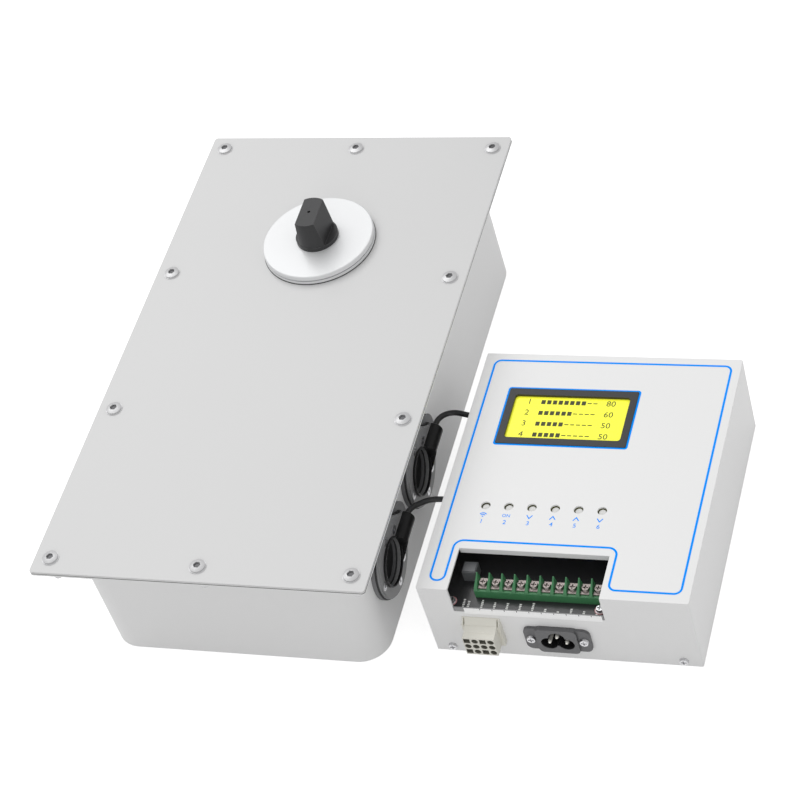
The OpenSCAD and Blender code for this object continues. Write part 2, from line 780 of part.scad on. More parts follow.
module gear_case() color("darkgray") {
    difference() {
        union() {
            translate([0, 0, z_case]) linear_extrude(case_floor) floor_outline();
            translate([0, 0, z_case_in]) linear_extrude(z_shelf - z_case_in) pot_outline(case_wall);
            translate([0, 0, z_shelf]) linear_extrude(z_lid - z_shelf) top_outline(case_wall);
            for (p = lid_spots) translate([p.x, p.y, z_shelf]) cylinder(r = screw_boss_r, h = z_lid - z_shelf);
            for (p = leg_spots) translate([p.x, p.y, z_case]) cylinder(r = leg_r, h = z_shelf - z_case + 1);
        }
        translate([0, 0, z_case_in]) linear_extrude(z_shelf_top - z_case_in) pot_outline(0);
        translate([0, 0, z_shelf_top]) linear_extrude(z_lid) top_outline(0);
        for (p = foot_spots) translate([p.x, p.y, z_case - 1])
            cylinder(d = foot_stud_d + 2*hole_play, h = case_floor + 2);
        for (p = lid_spots) translate([p.x, p.y, z_lid - case_screw_len])
            cylinder(d = case_screw_d + 2*fit_gap, h = case_screw_len + 1);
        translate([0, motor_y, z_shelf - 1]) cylinder(r = pilot_r + fit_gap, h = shelf_t + 2);
        translate([0, motor_y, z_shelf - 1]) for (a = [45:90:315]) rotate([0, 0, a])
            translate([gearhead_screw_at, 0, 0]) cylinder(d = case_screw_d + 2*fit_gap, h = shelf_t + 2);
    }
    difference() {
        translate([0, 0, z_case_in - 1]) cylinder(r = lb_od/2 + lb_boss_wall, h = bearing_relief + lb_w + 1);
        translate([0, 0, z_lb]) cylinder(r = lb_od/2, h = lb_w + 1);
        translate([0, 0, z_case_in]) cylinder(r = lb_od/2 - 5, h = lb_w);
    }
    translate([0, idler_y, z_case_in - 1])
        ring(idler_r + bush_wall + bush_boss_wall, idler_r + bush_wall, bush_h + 1);
}

module case_lid() color("darkgray") {
    boss_r = ub_od/2 + ub_boss_wall;
    bush_r = idler_r + bush_wall;
    difference() {
        union() {
            translate([0, 0, z_lid]) linear_extrude(lid_t) top_outline(case_wall);
            for (p = lid_spots) translate([p.x, p.y, z_lid]) cylinder(r = screw_boss_r, h = lid_t);
            translate([0, 0, z_lid]) cylinder(r = boss_r, h = z_shaft_seal_top - z_lid);
            translate([0, idler_y, z_lid])
                cylinder(r = bush_r + bush_boss_wall, h = bush_h + bush_boss_wall);
        }
        translate([0, 0, z_lid - 1]) cylinder(r = ub_od/2, h = ub_w + 1);
        translate([0, 0, z_shaft_seal - 1]) cylinder(r = shaft_seal_r, h = oil_seal_t + 2);
        translate([0, idler_y, z_lid - 1]) cylinder(r = bush_r, h = bush_h + 1);
        for (p = lid_spots) translate([p.x, p.y, z_lid - 1])
            cylinder(d = case_screw_d + 2*hole_play, h = lid_t + 2);
    }
}

// The lid's screws and the gearhead's screws are the same
module case_screws() color("dimgray") {
    for (p = lid_spots) translate([p.x, p.y, z_lid + lid_t])
        socket_screw(case_screw_d, case_screw_len, case_head_d, case_head_h, case_socket);
    translate([0, motor_y, z_gearhead_flange]) for (a = [45:90:315]) rotate([0, 0, a])
        translate([gearhead_screw_at, 0, 0]) mirror([0, 0, 1])
        socket_screw(case_screw_d, case_screw_len, case_head_d, case_head_h, case_socket);
}

module foot_nuts() color("silver") {
    for (p = foot_spots) translate([p.x, p.y, z_case_in]) difference() {
        cylinder(d = foot_nut_af/cos(30), h = foot_nut_h, $fn = 6);
        translate([0, 0, -1]) cylinder(d = foot_stud_d + 2*fit_gap, h = foot_nut_h + 2);
    }
}

// Intermediate shaft with its pinion, the large gear on it and the two bushes

module idler_gear() color("slategray") {
    hub_h = in_face + 2;
    translate([0, idler_y, z_idler]) difference() {
        union() {
            gear(in_m, idl_z, in_face, 0);
            cylinder(r = idler_collar_r + 3, h = hub_h);
        }
        translate([0, 0, -1]) cylinder(r = idler_seat_r + fit_gap, h = hub_h + 2);
        for (i = [0:5]) rotate([0, 0, i*60 + 30])
            translate([(idl_root + idler_collar_r)/2, 0, -1]) cylinder(r = web_hole_r, h = in_face + 2);
    }
}

module idler_shaft() color("silver") {
    z_low = z_case_in + 1;
    z_pin = gear_z - pin_over;
    pin_h = out_face + 2*pin_over;
    z_seat_top = z_idler + in_face + 2;
    translate([0, idler_y, 0]) {
        translate([0, 0, z_low]) cylinder(r = idler_r, h = z_lid + bush_h - 1 - z_low);
        translate([0, 0, z_case_in + bush_h + 0.3])
            cylinder(r = idler_collar_r, h = z_pin - z_case_in - bush_h - 0.3);
        translate([0, 0, z_pin]) gear(out_m, pin_z, pin_h, 90 + 180/pin_z);
        translate([0, 0, z_pin + pin_h]) cylinder(r = idler_collar_r, h = z_idler - z_pin - pin_h);
        translate([0, 0, z_idler]) cylinder(r = idler_seat_r, h = z_seat_top - z_idler);
    }
}

module idler_bushes() color("peru") {
    for (z = [z_case_in, z_lid]) translate([0, idler_y, z])
        ring(idler_r + bush_wall, idler_r + fit_gap, bush_h);
}

// Motor and gearhead hang under the shelf; the drive pinion comes up through it

module motor() color("dimgray") {
    rib_h = 3;
    translate([0, motor_y, z_motor]) {
        cylinder(r = motor_r - 2, h = motor_h);
        for (z = [0, motor_h - rib_h - 1]) translate([0, 0, z]) cylinder(r = motor_r, h = rib_h + 1);
        for (i = [0:23]) rotate([0, 0, i*15]) translate([motor_r - 2.5, -1, 1])
            cube([2, 2, motor_h - 2]);
    }
}

module gearhead() color("silver") {
    translate([0, motor_y, 0]) difference() {
        union() {
            translate([0, 0, z_gearhead]) cylinder(r = gearhead_r, h = gearhead_body_h);
            translate([0, 0, z_gearhead_flange]) cylinder(r = gearhead_flange_r, h = gearhead_flange_t);
            translate([0, 0, z_shelf]) cylinder(r = pilot_r, h = pilot_over);
        }
        translate([0, 0, z_gearhead + 6]) cylinder(r = drive_r + fit_gap, h = z_lid);
        for (a = [45:90:315]) rotate([0, 0, a]) translate([gearhead_screw_at, 0, z_gearhead_flange - 1])
            cylinder(d = case_screw_d + 2*hole_play, h = gearhead_flange_t + 2);
    }
}

module drive_pinion() color("silver") {
    over = 1;
    translate([0, motor_y, 0]) {
        translate([0, 0, z_gearhead + 6.3]) cylinder(r = drive_r, h = z_idler - z_gearhead - 6.3);
        translate([0, 0, z_idler - over]) gear(in_m, drv_z, in_face + 2*over, 90 + 180/drv_z);
    }
}

module stop_buffers() color("black") {
    for (s = [-1, 1]) rotate([0, 0, 90 + s*buffer_turn]) translate([stop_at, 0, z_case_in])
        cylinder(r = buffer_r, h = z_stop + buffer_over - z_case_in);
}

// Cable glands on the tank's side, seen along the wall's normal: a pear shape that ends under
// the barrel, and the holes that all layers share

module pear(r, end, r_end) {
    reach = norm(end);
    lean = acos((r - r_end)/reach) - 5;
    translate(gland_flange_at) {
        circle(r = r);
        translate(end) circle(r = r_end);
        rotate(atan2(end.y, end.x))
            polygon([for (q = [[0, r, 1], [reach, r_end, 1], [reach, r_end, -1], [0, r, -1]])
                [q[0] + (q[1] - 0.2)*cos(lean), q[2]*(q[1] - 0.2)*sin(lean)]]);
    }
}

module gland_holes(r) {
    translate(gland_bore_at) circle(r = gland_bore_r);
    for (a = gland_angles) translate([gland_screw_circle*cos(a), gland_screw_circle*sin(a)]) circle(r = r);
}

module gland_seats() color("darkgray") {
    at_glands() linear_extrude(gland_seat_t) difference() {
        pear(gland_r + 1.5, [24.2, 0.5], 14);
        gland_holes(gland_screw_r + fit_gap);
    }
}

module gland_gaskets() color("black") {
    at_glands() translate([0, 0, gland_seat_t]) linear_extrude(gland_gasket_t) difference() {
        pear(gland_r + 1.2, gland_nose*1.04, 7.3);
        gland_holes(gland_hole_r);
    }
}

module gland_bodies() color("darkslategray") {
    z_flange = gland_seat_t + gland_gasket_t;
    step = gland_flange_t*0.6;
    at_glands() difference() {
        union() {
            translate([0, 0, z_flange]) linear_extrude(step) pear(gland_r + 0.7, gland_nose, 6.5);
            translate([0, 0, z_flange]) linear_extrude(gland_flange_t) pear(gland_r, gland_nose, 6);
            intersection() {
                translate([0, barrel_side, gland_face + barrel_up]) rotate([0, 90, 0]) {
                    cylinder(r = barrel_r, h = barrel_reach - barrel_bevel);
                    translate([0, 0, barrel_reach - barrel_bevel])
                        cylinder(r1 = barrel_r, r2 = barrel_r - barrel_bevel, h = barrel_bevel);
                }
                block([-1, -2*barrel_r, z_flange], [barrel_reach + 2, 3*barrel_r, gland_face + 2*barrel_r]);
            }
        }
        translate([0, 0, z_flange - 1]) linear_extrude(gland_flange_t + barrel_up + barrel_r + 2)
            gland_holes(gland_hole_r);
        for (a = gland_angles) rotate([0, 0, a])
            translate([gland_screw_circle, 0, gland_face - gland_head_h])
            cylinder(r1 = gland_hole_r, r2 = gland_head_r + 0.15, h = gland_head_h + eps);
    }
}

module gland_plugs() color("black") {
    h = gland_face - gland_recess + tank_wall;
    at_glands() translate([gland_bore_at.x, gland_bore_at.y, -tank_wall])
        cylinder(r = gland_bore_r - fit_gap, h = h);
}

module gland_screws() color("silver") {
    shank = gland_face - gland_head_h + tank_wall;
    at_glands() for (a = gland_angles) rotate([0, 0, a]) translate([gland_screw_circle, 0, 0])
        difference() {
            union() {
                translate([0, 0, -tank_wall]) cylinder(r = gland_screw_r, h = shank);
                translate([0, 0, gland_face - gland_head_h])
                    cylinder(r1 = gland_screw_r, r2 = gland_head_r, h = gland_head_h);
            }
            translate([0, 0, gland_face - 0.9]) cylinder(d = 2, h = 2, $fn = 6);
        }
}

// Leads: a tube swept along each route, every ring square to the route

function unit_vec(v) = v/norm(v);
function tangent(p, i) = unit_vec(p[min(i + 1, len(p) - 1)] - p[max(i - 1, 0)]);
function ring_points(p, i) = let (t = tangent(p, i), s = unit_vec(cross(t, [0, 0, 1])), u = cross(s, t))
    [for (k = [0:lead_sides - 1]) let (a = k*360/lead_sides)
    p[i] + lead_d/2*(cos(a)*s + sin(a)*u)];

module tube(p) {
    n = lead_sides;
    last = (len(p) - 1)*n;
    polyhedron(
        points = [for (i = [0:len(p) - 1]) each ring_points(p, i)],
        faces = concat([[for (k = [0:n - 1]) k]], [[for (k = [n - 1:-1:0]) last + k]],
            [for (i = [0:len(p) - 2], k = [0:n - 1]) let (a = i*n + k, b = i*n + (k + 1) % n)
            [a, a + n, b + n, b]]));
}

module lead_upper() color("black") {
    tube(route_upper);
}

module lead_lower() color("black") {
    tube(route_lower);
}

// Control unit: sheet-metal base and cover

module control_base() color("gainsboro") {
    w = unit_w - 2*(sheet_t + sheet_play);
    l = unit_l - 2*(sheet_t + sheet_play);
    at_unit() difference() {
        union() {
            block([-w/2, -l/2, 0], [w/2, l/2, sheet_t]);
            for (s = [-1, 1]) {
                block([s*(w/2 - sheet_t/2) - sheet_t/2, -l/2, 0], [s*(w/2 - sheet_t/2) + sheet_t/2, l/2, side_lip_h]);
                for (x = [-1, 1]) block(
                    [x*control_screw_x - tab_w/2, s*(l/2 - sheet_t/2) - sheet_t/2, 0],
                    [x*control_screw_x + tab_w/2, s*(l/2 - sheet_t/2) + sheet_t/2, tab_h]);
            }
        }
        for (x = [-1, 1]) translate([x*control_screw_x, 0, control_screw_z]) rotate([90, 0, 0])
            cylinder(r = 1.5 + fit_gap, h = unit_l, center = true);
    }
}

module control_cover() color("white") {
    cut_z = board_bottom - 0.1;
    at_unit() block([cut_x0, front_y + cut_l, unit_h - cut_lip_h],
        [cut_x0 + cut_w, front_y + cut_l + sheet_t, unit_h - sheet_t/2]);
    at_unit() difference() {
        slab(unit_w, unit_l, 1, unit_h);
        translate([0, 0, -sheet_t])
            block([-unit_w/2 + sheet_t, -unit_l/2 + sheet_t, 0], [unit_w/2 - sheet_t, unit_l/2 - sheet_t, unit_h]);
        translate([bezel_x, bezel_y, unit_h - 2*sheet_t]) linear_extrude(3*sheet_t)
            square([bezel_w + 2*fit_gap, bezel_l + 2*fit_gap], center = true);
        for (i = [0:5]) translate([button_x0 + i*button_pitch, button_y, unit_h - 2*sheet_t])
            cylinder(r = button_hole_r, h = 3*sheet_t);
        block([cut_x0, front_y - 1, cut_z], [cut_x0 + cut_w, front_y + cut_l, unit_h + 1]);
        for (x = [-1, 1]) translate([x*control_screw_x, 0, control_screw_z]) rotate([90, 0, 0])
            cylinder(r = 1.5 + hole_play, h = unit_l + 2, center = true);
        translate([inlet_x, front_y, inlet_z]) rotate([90, 0, 0]) {
            linear_extrude(4*sheet_t, center = true) square([inlet_w - 1, inlet_h - 1], center = true);
            for (s = [-1, 1]) translate([s*inlet_screw_pitch/2, 0, 0])
                cylinder(r = 1.5 + fit_gap, h = 4*sheet_t, center = true);
        }
        translate([header_x, front_y, header_z]) rotate([90, 0, 0]) linear_extrude(4*sheet_t, center = true)
            square([header_cols*header_pitch + 0.2, header_rows*header_pitch + 0.6 + 0.2], center = true);
        for (r = [route_upper, route_lower]) let (end = r[len(r) - 1])
            translate([-unit_w/2, end.y - unit_y, end.z]) rotate([0, 90, 0])
            cylinder(r = grommet_r - 1 + fit_gap, h = 4*sheet_t, center = true);
    }
}

module control_screws() color("silver") {
    for (x = [-1, 1]) {
        at_front(x*control_screw_x, control_screw_z) cross_screw(1.5, 4, 2.8, 1.6);
        at_unit() translate([x*control_screw_x, unit_l/2, control_screw_z]) rotate([-90, 0, 0])
            cross_screw(1.5, 4, 2.8, 1.6);
    }
}

// Display: a frame let into the cover, with the display module seated in it

module display_bezel() color("dimgray") {
    lip = 1;
    at_unit() translate([bezel_x, bezel_y, unit_h - bezel_t]) difference() {
        slab(bezel_w, bezel_l, 1, bezel_t + bezel_rise);
        translate([0, 0, -1]) slab(window_w, window_l, window_corner, bezel_t + bezel_rise + 2);
        translate([0, 0, -1]) slab(window_w + 2*lip, window_l + 2*lip, 0.5, bezel_t + bezel_rise - glass_sink);
    }
}

module display_panel() color("yellow") {
    lip = 1;
    at_unit() translate([bezel_x, bezel_y, unit_h + bezel_rise - glass_sink - 1 - panel_t])
        slab(window_w + 2*lip - 2*fit_gap, window_l + 2*lip - 2*fit_gap, 0.5, panel_t);
}

// Main board on its posts

module board_outline() {
    tongue_y = front_y + board_tongue;
    inside_y = front_y + sheet_t + 0.4;
    translate([board_x0, inside_y]) square([board_x1 - board_x0, board_y1 - inside_y]);
    translate([cut_x0 + 0.3, tongue_y]) square([cut_w - 0.6, 5]);
}

module main_board() color("black") {
    at_unit() translate([0, 0, board_bottom]) linear_extrude(board_t) difference() {
        board_outline();
        for (p = post_spots) translate(p) circle(r = post_screw_r + hole_play);
    }
}

module board_posts() color("gold") {
    at_unit() for (p = post_spots) translate([p.x, p.y, sheet_t]) difference() {
        cylinder(r = post_r, h = board_bottom - sheet_t, $fn = 6);
        translate([0, 0, board_bottom - sheet_t - 8]) cylinder(r = post_screw_r + fit_gap, h = 9);
    }
}

module board_screws() color("silver") {
    washer_h = 0.5;
    at_unit() for (p = post_spots) translate([p.x, p.y, board_z]) {
        ring(2.8, post_screw_r + 0.2, washer_h);
        translate([0, 0, washer_h]) cross_screw(post_screw_r, 6, 2.5, 1.8);
    }
}

// Terminal strip: one profile along the strip, and a pointed wall on each side of a terminal

module terminal_fin() {
    low = block_low;
    side = [[0, 0], [0, low + 2.2], [5.5, low + 3.6], [9.3, fin_h], [10.4, fin_h], [11.2, low + 4.8],
        [block_deep, low + 2.6], [block_deep, 0]];
    front = [[-fin_w/2, 0], [fin_w/2, 0], [fin_w/2, low], [fin_tip/2, fin_h + 0.1],
        [-fin_tip/2, fin_h + 0.1], [-fin_w/2, low]];
    intersection() {
        rotate([90, 0, 90]) linear_extrude(fin_w + 1, center = true) polygon(side);
        translate([0, block_deep + 1, 0]) rotate([90, 0, 0]) linear_extrude(block_deep + 2) polygon(front);
    }
}

module terminal_block() color("seagreen") {
    n = terminal_n;
    low = block_low;
    profile = [[0, 0], [0, low + 0.8], [1, low + 0.8], [1, low], [9.5, low], [9.5, low + 4.5],
        [11, low + 4.5], [block_deep, low + 2.5], [block_deep, 0]];
    at_unit() translate([block_x0, block_front, board_z]) difference() {
        union() {
            rotate([90, 0, 90]) linear_extrude(n*terminal_pitch) polygon(profile);
            for (i = [0:n]) translate([i*terminal_pitch, 0, 0]) terminal_fin();
        }
        for (i = [0:n - 1]) translate([(i + 0.5)*terminal_pitch, block_screw_y, 1])
            cylinder(r = 1.5 + fit_gap, h = low + 2);
    }
}

module terminal_screws() color("silver") {
    clamp_w = terminal_pitch - fin_w - 0.3;
    at_unit() for (i = [0:terminal_n - 1])
        translate([block_x0 + (i + 0.5)*terminal_pitch, block_front + block_screw_y, board_z + block_low]) {
            difference() {
                translate([-clamp_w/2, -3.6, 0]) cube([clamp_w, 7.4, 0.9]);
                cylinder(r = 1.6, h = 5, center = true);
            }
            translate([0, 0, 0.9]) cross_screw(1.5, 5, 2.5, 1.8);
        }
}

module relay() color("darkslategray") {
    at_unit() translate([relay_x + relay_size.x/2, relay_y + relay_size.y/2, board_z]) {
        linear_extrude(relay_size.z) square([relay_size.x - 1, relay_size.y - 1], center = true);
        linear_extrude(relay_size.z - 0.6) square([relay_size.x, relay_size.y], center = true);
    }
}

// Push buttons: each cap and stem slides in a switch on the main board

module button(i) color("white") {
    z_cap_top = unit_h - button_sink;
    z_stem = board_z + 1 + button_travel;
    cap_h = 3;
    at_unit() translate([button_x0 + (i - 1)*button_pitch, button_y, 0]) {
        translate([0, 0, z_stem]) cylinder(r = stem_r, h = z_cap_top - z_stem - 1);
        translate([0, 0, z_cap_top - cap_h]) cylinder(r = button_r, h = cap_h - 0.4);
        translate([0, 0, z_cap_top - 0.4]) cylinder(r1 = button_r, r2 = button_r - 0.4, h = 0.4);
    }
}

module button_switches() color("black") {
    at_unit() for (i = [0:5]) translate([button_x0 + i*button_pitch, button_y, board_z]) difference() {
        linear_extrude(switch_h) square(switch_w, center = true);
        translate([0, 0, 0.8]) cylinder(r = stem_r + fit_gap, h = switch_h);
    }
}

// Mains inlet: ears and a raised body outside the front, a deep body behind it

module inlet_recess() {
    for (p = pin_spots) translate(p) circle(r = lobe_r);
    circle(r = lobe_r*0.75);
}

module inlet_body() color("dimgray") {
    at_front(inlet_x, inlet_z) difference() {
        union() {
            linear_extrude(ear_t) rounded_rect(ear_w, ear_h, 4);
            linear_extrude(inlet_out) rounded_rect(inlet_w, inlet_h, 3);
            translate([0, 0, -inlet_back]) linear_extrude(inlet_back + 1)
                rounded_rect(inlet_w - 1.2, inlet_h - 1.2, 2);
        }
        translate([0, 0, inlet_out - inlet_depth]) linear_extrude(inlet_depth + 1) inlet_recess();
        for (s = [-1, 1]) translate([s*inlet_screw_pitch/2, 0, -1]) cylinder(r = 1.5 + hole_play, h = ear_t + 2);
    }
}

// Contacts: three round pins in the mains inlet and a square one in each cell of the socket
module contact_pins() color("khaki") {
    at_front(inlet_x, inlet_z) translate([0, 0, inlet_out - inlet_depth])
        for (p = pin_spots) translate(p) {
            cylinder(r = inlet_pin_r, h = inlet_pin_l - 1);
            translate([0, 0, inlet_pin_l - 1]) cylinder(r1 = inlet_pin_r, r2 = inlet_pin_r*0.6, h = 1);
        }
    at_front(header_x, header_z) for (c = [0:header_cols - 1], r = [0:header_rows - 1])
        translate([(c - 1.5)*header_pitch, (r - 1)*header_pitch, header_out - header_deep])
        translate([-0.5, -0.5, 0]) cube([1, 1, 6]);
}

module inlet_screws() color("silver") {
    at_front(inlet_x, inlet_z) for (s = [-1, 1]) translate([s*inlet_screw_pitch/2, 0, ear_t])
        cross_screw(1.5, 6, 2.9, 1.5);
}

// Contact socket: a square grid of cells, round and square by turns, with a collar at the front
module header_body() color("ivory") {
    w = header_cols*header_pitch;
    h = header_rows*header_pitch + 0.6;
    at_front(header_x, header_z) difference() {
        union() {
            translate([0, 0, -8]) linear_extrude(header_out + 8) square([w, h], center = true);
            linear_extrude(collar_t) square([w + 4, h + 3], center = true);
            translate([-w/2, h/2 - 1, 0]) rotate([90, 0, 90])
                linear_extrude(w) polygon([[0, collar_t], [2.2, collar_t], [0.5, header_out - 3], [0, header_out - 3]]);
            translate([-w/2 - 1.7, h/2 + 1, 0]) rotate([90, 0, 90])
                linear_extrude(w + 3.4) polygon([[0, 0], [header_wedge, 0], [header_wedge, 0.5], [0.5, collar_t], [0, collar_t]]);
        }
        for (c = [0:header_cols - 1], r = [0:header_rows - 1])
            translate([(c - 1.5)*header_pitch, (r - 1)*header_pitch, header_out - header_deep])
            linear_extrude(header_deep + 1) {
                if (r != 1 && c % 2 == 0) square(header_pitch - cell_wall, center = true);
                else circle(r = (header_pitch - cell_wall)/2);
            }
        for (s = [-1, 1]) translate([s*(w/2 + 0.5), h/2 + 1 + header_wedge/2, collar_t/2 + 0.6])
            cube([0.8, header_wedge + 1, collar_t], center = true);
    }
}

module lead_grommets() color("black") {
    inside = 1;
    bore = lead_d/2 + fit_gap;
    for (r = [route_upper, route_lower]) let (end = r[len(r) - 1])
        translate([unit_x - unit_w/2, end.y, end.z]) rotate([0, 90, 0]) {
            translate([0, 0, -grommet_out]) ring(grommet_r, bore, grommet_out);
            ring(grommet_r - 1, bore, sheet_t);
            translate([0, 0, sheet_t]) ring(grommet_r, bore, inside);
        }
}

module transformer() color("saddlebrown") {
    core = [30, 50, 26];
    coil = [34, 34, 38];
    at_unit() translate([transformer_at.x, transformer_at.y, sheet_t]) {
        translate([0, 0, 6]) linear_extrude(core.z) square([core.x, core.y], center = true);
        linear_extrude(coil.z) rounded_rect(coil.x, coil.y, 4);
        for (s = [-1, 1]) block([s*21 - 6, -8, 0], [s*21 + 6, 8, 2]);
    }
}

module capacitors() color("navy") {
    at_unit() for (i = [0:2]) translate([board_x1 - 56 + 16*i, front_y + 46, board_z]) {
        cylinder(r = capacitor_r, h = capacitor_h - 0.6);
        cylinder(r = capacitor_r - 0.4, h = capacitor_h);
    }
}

tank();
tank_flange();
tank_gasket();
cover_plate();
cover_screws();
cover_washers();
seal_ring();
ring_seal();
cap_disc();
spindle();
spindle_key();
output_gear();
outer_races();
inner_races();
bearing_balls();
retaining_ring();
shaft_seal();
gear_case();
case_lid();
case_screws();
foot_nuts();
idler_gear();
idler_shaft();
idler_bushes();
motor();
gearhead();
drive_pinion();
stop_buffers();
gland_seats();
gland_gaskets();
gland_bodies();
gland_plugs();
gland_screws();
lead_upper();
lead_lower();
control_base();
control_cover();
control_screws();
display_bezel();
display_panel();
main_board();
board_posts();
board_screws();
terminal_block();
terminal_screws();
relay();
button(1);  // button_1
button(2);  // button_2
button(3);  // button_3
button(4);  // button_4
button(5);  // button_5
button(6);  // button_6
button_switches();
inlet_body();
contact_pins();
inlet_screws();
header_body();
lead_grommets();
transformer();
capacitors();
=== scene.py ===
"""Looks of an in-ground swing door operator and of the control unit that it is wired to.

Lengths are in metres in the solids' own frame: +Z up along the spindle, +X towards the
control unit and +Y towards the spindle's end of the tank. MM turns millimetres into metres.
"""

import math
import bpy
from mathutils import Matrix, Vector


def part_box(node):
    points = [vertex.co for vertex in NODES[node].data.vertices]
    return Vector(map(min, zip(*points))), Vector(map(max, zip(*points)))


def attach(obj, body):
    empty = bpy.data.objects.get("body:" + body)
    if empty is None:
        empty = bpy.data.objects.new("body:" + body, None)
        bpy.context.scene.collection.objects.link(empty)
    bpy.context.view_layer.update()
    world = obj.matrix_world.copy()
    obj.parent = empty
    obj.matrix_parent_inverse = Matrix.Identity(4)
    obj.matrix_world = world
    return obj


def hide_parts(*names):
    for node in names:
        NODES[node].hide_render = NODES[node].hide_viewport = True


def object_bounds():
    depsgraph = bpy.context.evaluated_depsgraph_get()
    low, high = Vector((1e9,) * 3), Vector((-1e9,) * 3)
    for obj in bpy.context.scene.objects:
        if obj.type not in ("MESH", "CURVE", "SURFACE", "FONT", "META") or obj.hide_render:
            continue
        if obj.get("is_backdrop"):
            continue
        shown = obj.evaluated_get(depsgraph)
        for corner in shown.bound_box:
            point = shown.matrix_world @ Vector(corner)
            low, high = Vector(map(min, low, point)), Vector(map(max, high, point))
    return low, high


bl_info = {
    "name": "In-ground door operator",
    "version": (1, 0, 0),
    "blender": (4, 5, 0),
    "location": "3D View > Sidebar > Door operator",
    "description": "Finishes, prints, leads and studio for a door operator and its control unit",
    "category": "Object",
}

import bmesh
import bpy
from bpy.props import FloatProperty, FloatVectorProperty, PointerProperty
from bpy.types import Operator, Panel, PropertyGroup
from mathutils import Matrix, Vector

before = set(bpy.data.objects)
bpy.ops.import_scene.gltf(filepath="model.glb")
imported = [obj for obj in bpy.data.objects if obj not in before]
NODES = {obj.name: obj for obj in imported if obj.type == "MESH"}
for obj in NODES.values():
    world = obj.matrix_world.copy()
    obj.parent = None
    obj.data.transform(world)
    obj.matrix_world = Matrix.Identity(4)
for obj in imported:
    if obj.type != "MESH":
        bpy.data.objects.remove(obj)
SOLID_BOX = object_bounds()
HOUSINGS = "housings"
MM = 0.001

# Places that the prints and labels take from the solids
UNIT_LOW, UNIT_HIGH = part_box("control_cover")
UNIT_MID = (UNIT_LOW + UNIT_HIGH) / 2
SCREEN_LOW, SCREEN_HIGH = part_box("display_panel")
STRIP_LOW, STRIP_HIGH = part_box("terminal_block")
BOARD_LOW, BOARD_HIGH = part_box("main_board")

# The terminal strip's fins: their number, the first one's middle and their pitch
FINS = 11
FIN_INSET = 1.1 * MM
FIRST_FIN = STRIP_LOW.x + FIN_INSET
PITCH = (STRIP_HIGH.x - STRIP_LOW.x - 2 * FIN_INSET) / (FINS - 1)

# How far a print stands clear of the face under it
PRINT_GAP = 0.01 * MM
# Height of the built-in font's figures as a share of its size
FIGURE_SHARE = 0.7


def linear(r, g, b):
    """A colour as it is seen on a screen, 0 to 255, turned into the shader's own scale."""
    def channel(v):
        v = v / 255
        return v / 12.92 if v <= 0.04045 else ((v + 0.055) / 1.055) ** 2.4
    return (channel(r), channel(g), channel(b))


def setting(name, description, default, kind=FloatProperty, **more):
    """A value that a user may change."""
    return kind(name=name, description=description, default=default, **more)


def length(name, description, default, low):
    """A length in metres that a user may change."""
    return setting(name, description, default, min=low, unit="LENGTH", precision=5)


def colour(name, description, r, g, b):
    """A surface colour that a user may change, given as it is seen on a screen."""
    return setting(name, description, linear(r, g, b), FloatVectorProperty, size=3, min=0, max=1,
                   subtype="COLOR")


class DoorOperatorView(PropertyGroup):
    """Where the camera stands, what the floor looks like and how strong the light is."""

    azimuth: setting("Azimuth", "Camera's direction round the part, from its front",
                     math.radians(28.61), subtype="ANGLE")
    elevation: setting("Elevation", "Camera's angle above the floor", math.radians(44.99), subtype="ANGLE")
    roll: setting("Roll", "Camera's turn about its own axis", math.radians(-19.2), subtype="ANGLE")
    place: setting("Camera place", "Camera's place in the part's frame", (0.59658, -1.06175, 1.15382),
                   FloatVectorProperty, size=3, subtype="TRANSLATION")
    focal: setting("Focal length", "Lens in millimetres for a sensor 36 mm wide", 113.445, min=1)
    floor: colour("Floor", "Colour of the studio floor", 255, 255, 255)
    key_light: setting("Key light", "Power of the large light, in watts", 12.4, min=0)
    sky_light: setting("Sky light", "Strength of the even light all round", 0.6, min=0)


class DoorOperatorColours(PropertyGroup):
    """Colours of the finishes that can be seen from outside."""

    plate: colour("Cover plate", "Satin paint of the cover plate", 215, 215, 215)
    tank: colour("Tank", "Powder coat of the tank", 232, 232, 232)
    disc: colour("Disc", "Turned metal of the cap disc", 233, 234, 235)
    spindle: colour("Spindle", "Blackened steel of the spindle", 60, 60, 61)
    gland: colour("Gland", "Moulded plastic of the cable glands", 138, 138, 139)
    barrel: colour("Gland barrel", "Smooth black plastic of the glands' barrels", 18, 18, 19)
    rubber: colour("Rubber", "Rubber of the leads and gaskets", 34, 34, 35)
    unit: colour("Control unit", "Powder coat of the control unit", 243, 243, 243)
    ink: colour("Print", "Blue printed lines", 16, 148, 255)
    screen: colour("Screen", "Lit face of the display", 255, 255, 60)
    bezel: colour("Display frame", "Plastic frame of the display", 42, 42, 44)
    strip: colour("Terminal strip", "Green plastic of the terminal strip", 66, 128, 84)
    board: colour("Board", "Black lacquer of the main board", 44, 44, 46)
    socket: colour("Contact socket", "Ivory plastic of the contact socket", 230, 228, 218)


class DoorOperatorSizes(PropertyGroup):
    """Sizes of the pieces that are added to the solids."""

    lead_diameter: length("Lead diameter", "Outside diameter of the two leads", 0.0036, 0.001)
    print_line: length("Print line", "Width of the printed outline", 0.0013, 0.0002)
    print_film: length("Print film", "Thickness of printed lines and figures", 0.00006, 0.00001)
    figure_height: length("Figure height", "Height of the printed figures", 0.0030, 0.001)


# Nodes of a material

def feed(tree, socket, value):
    """Links another node's socket to this one, or sets this one to a plain value."""
    if isinstance(value, bpy.types.NodeSocket):
        tree.links.new(value, socket)
    else:
        socket.default_value = value


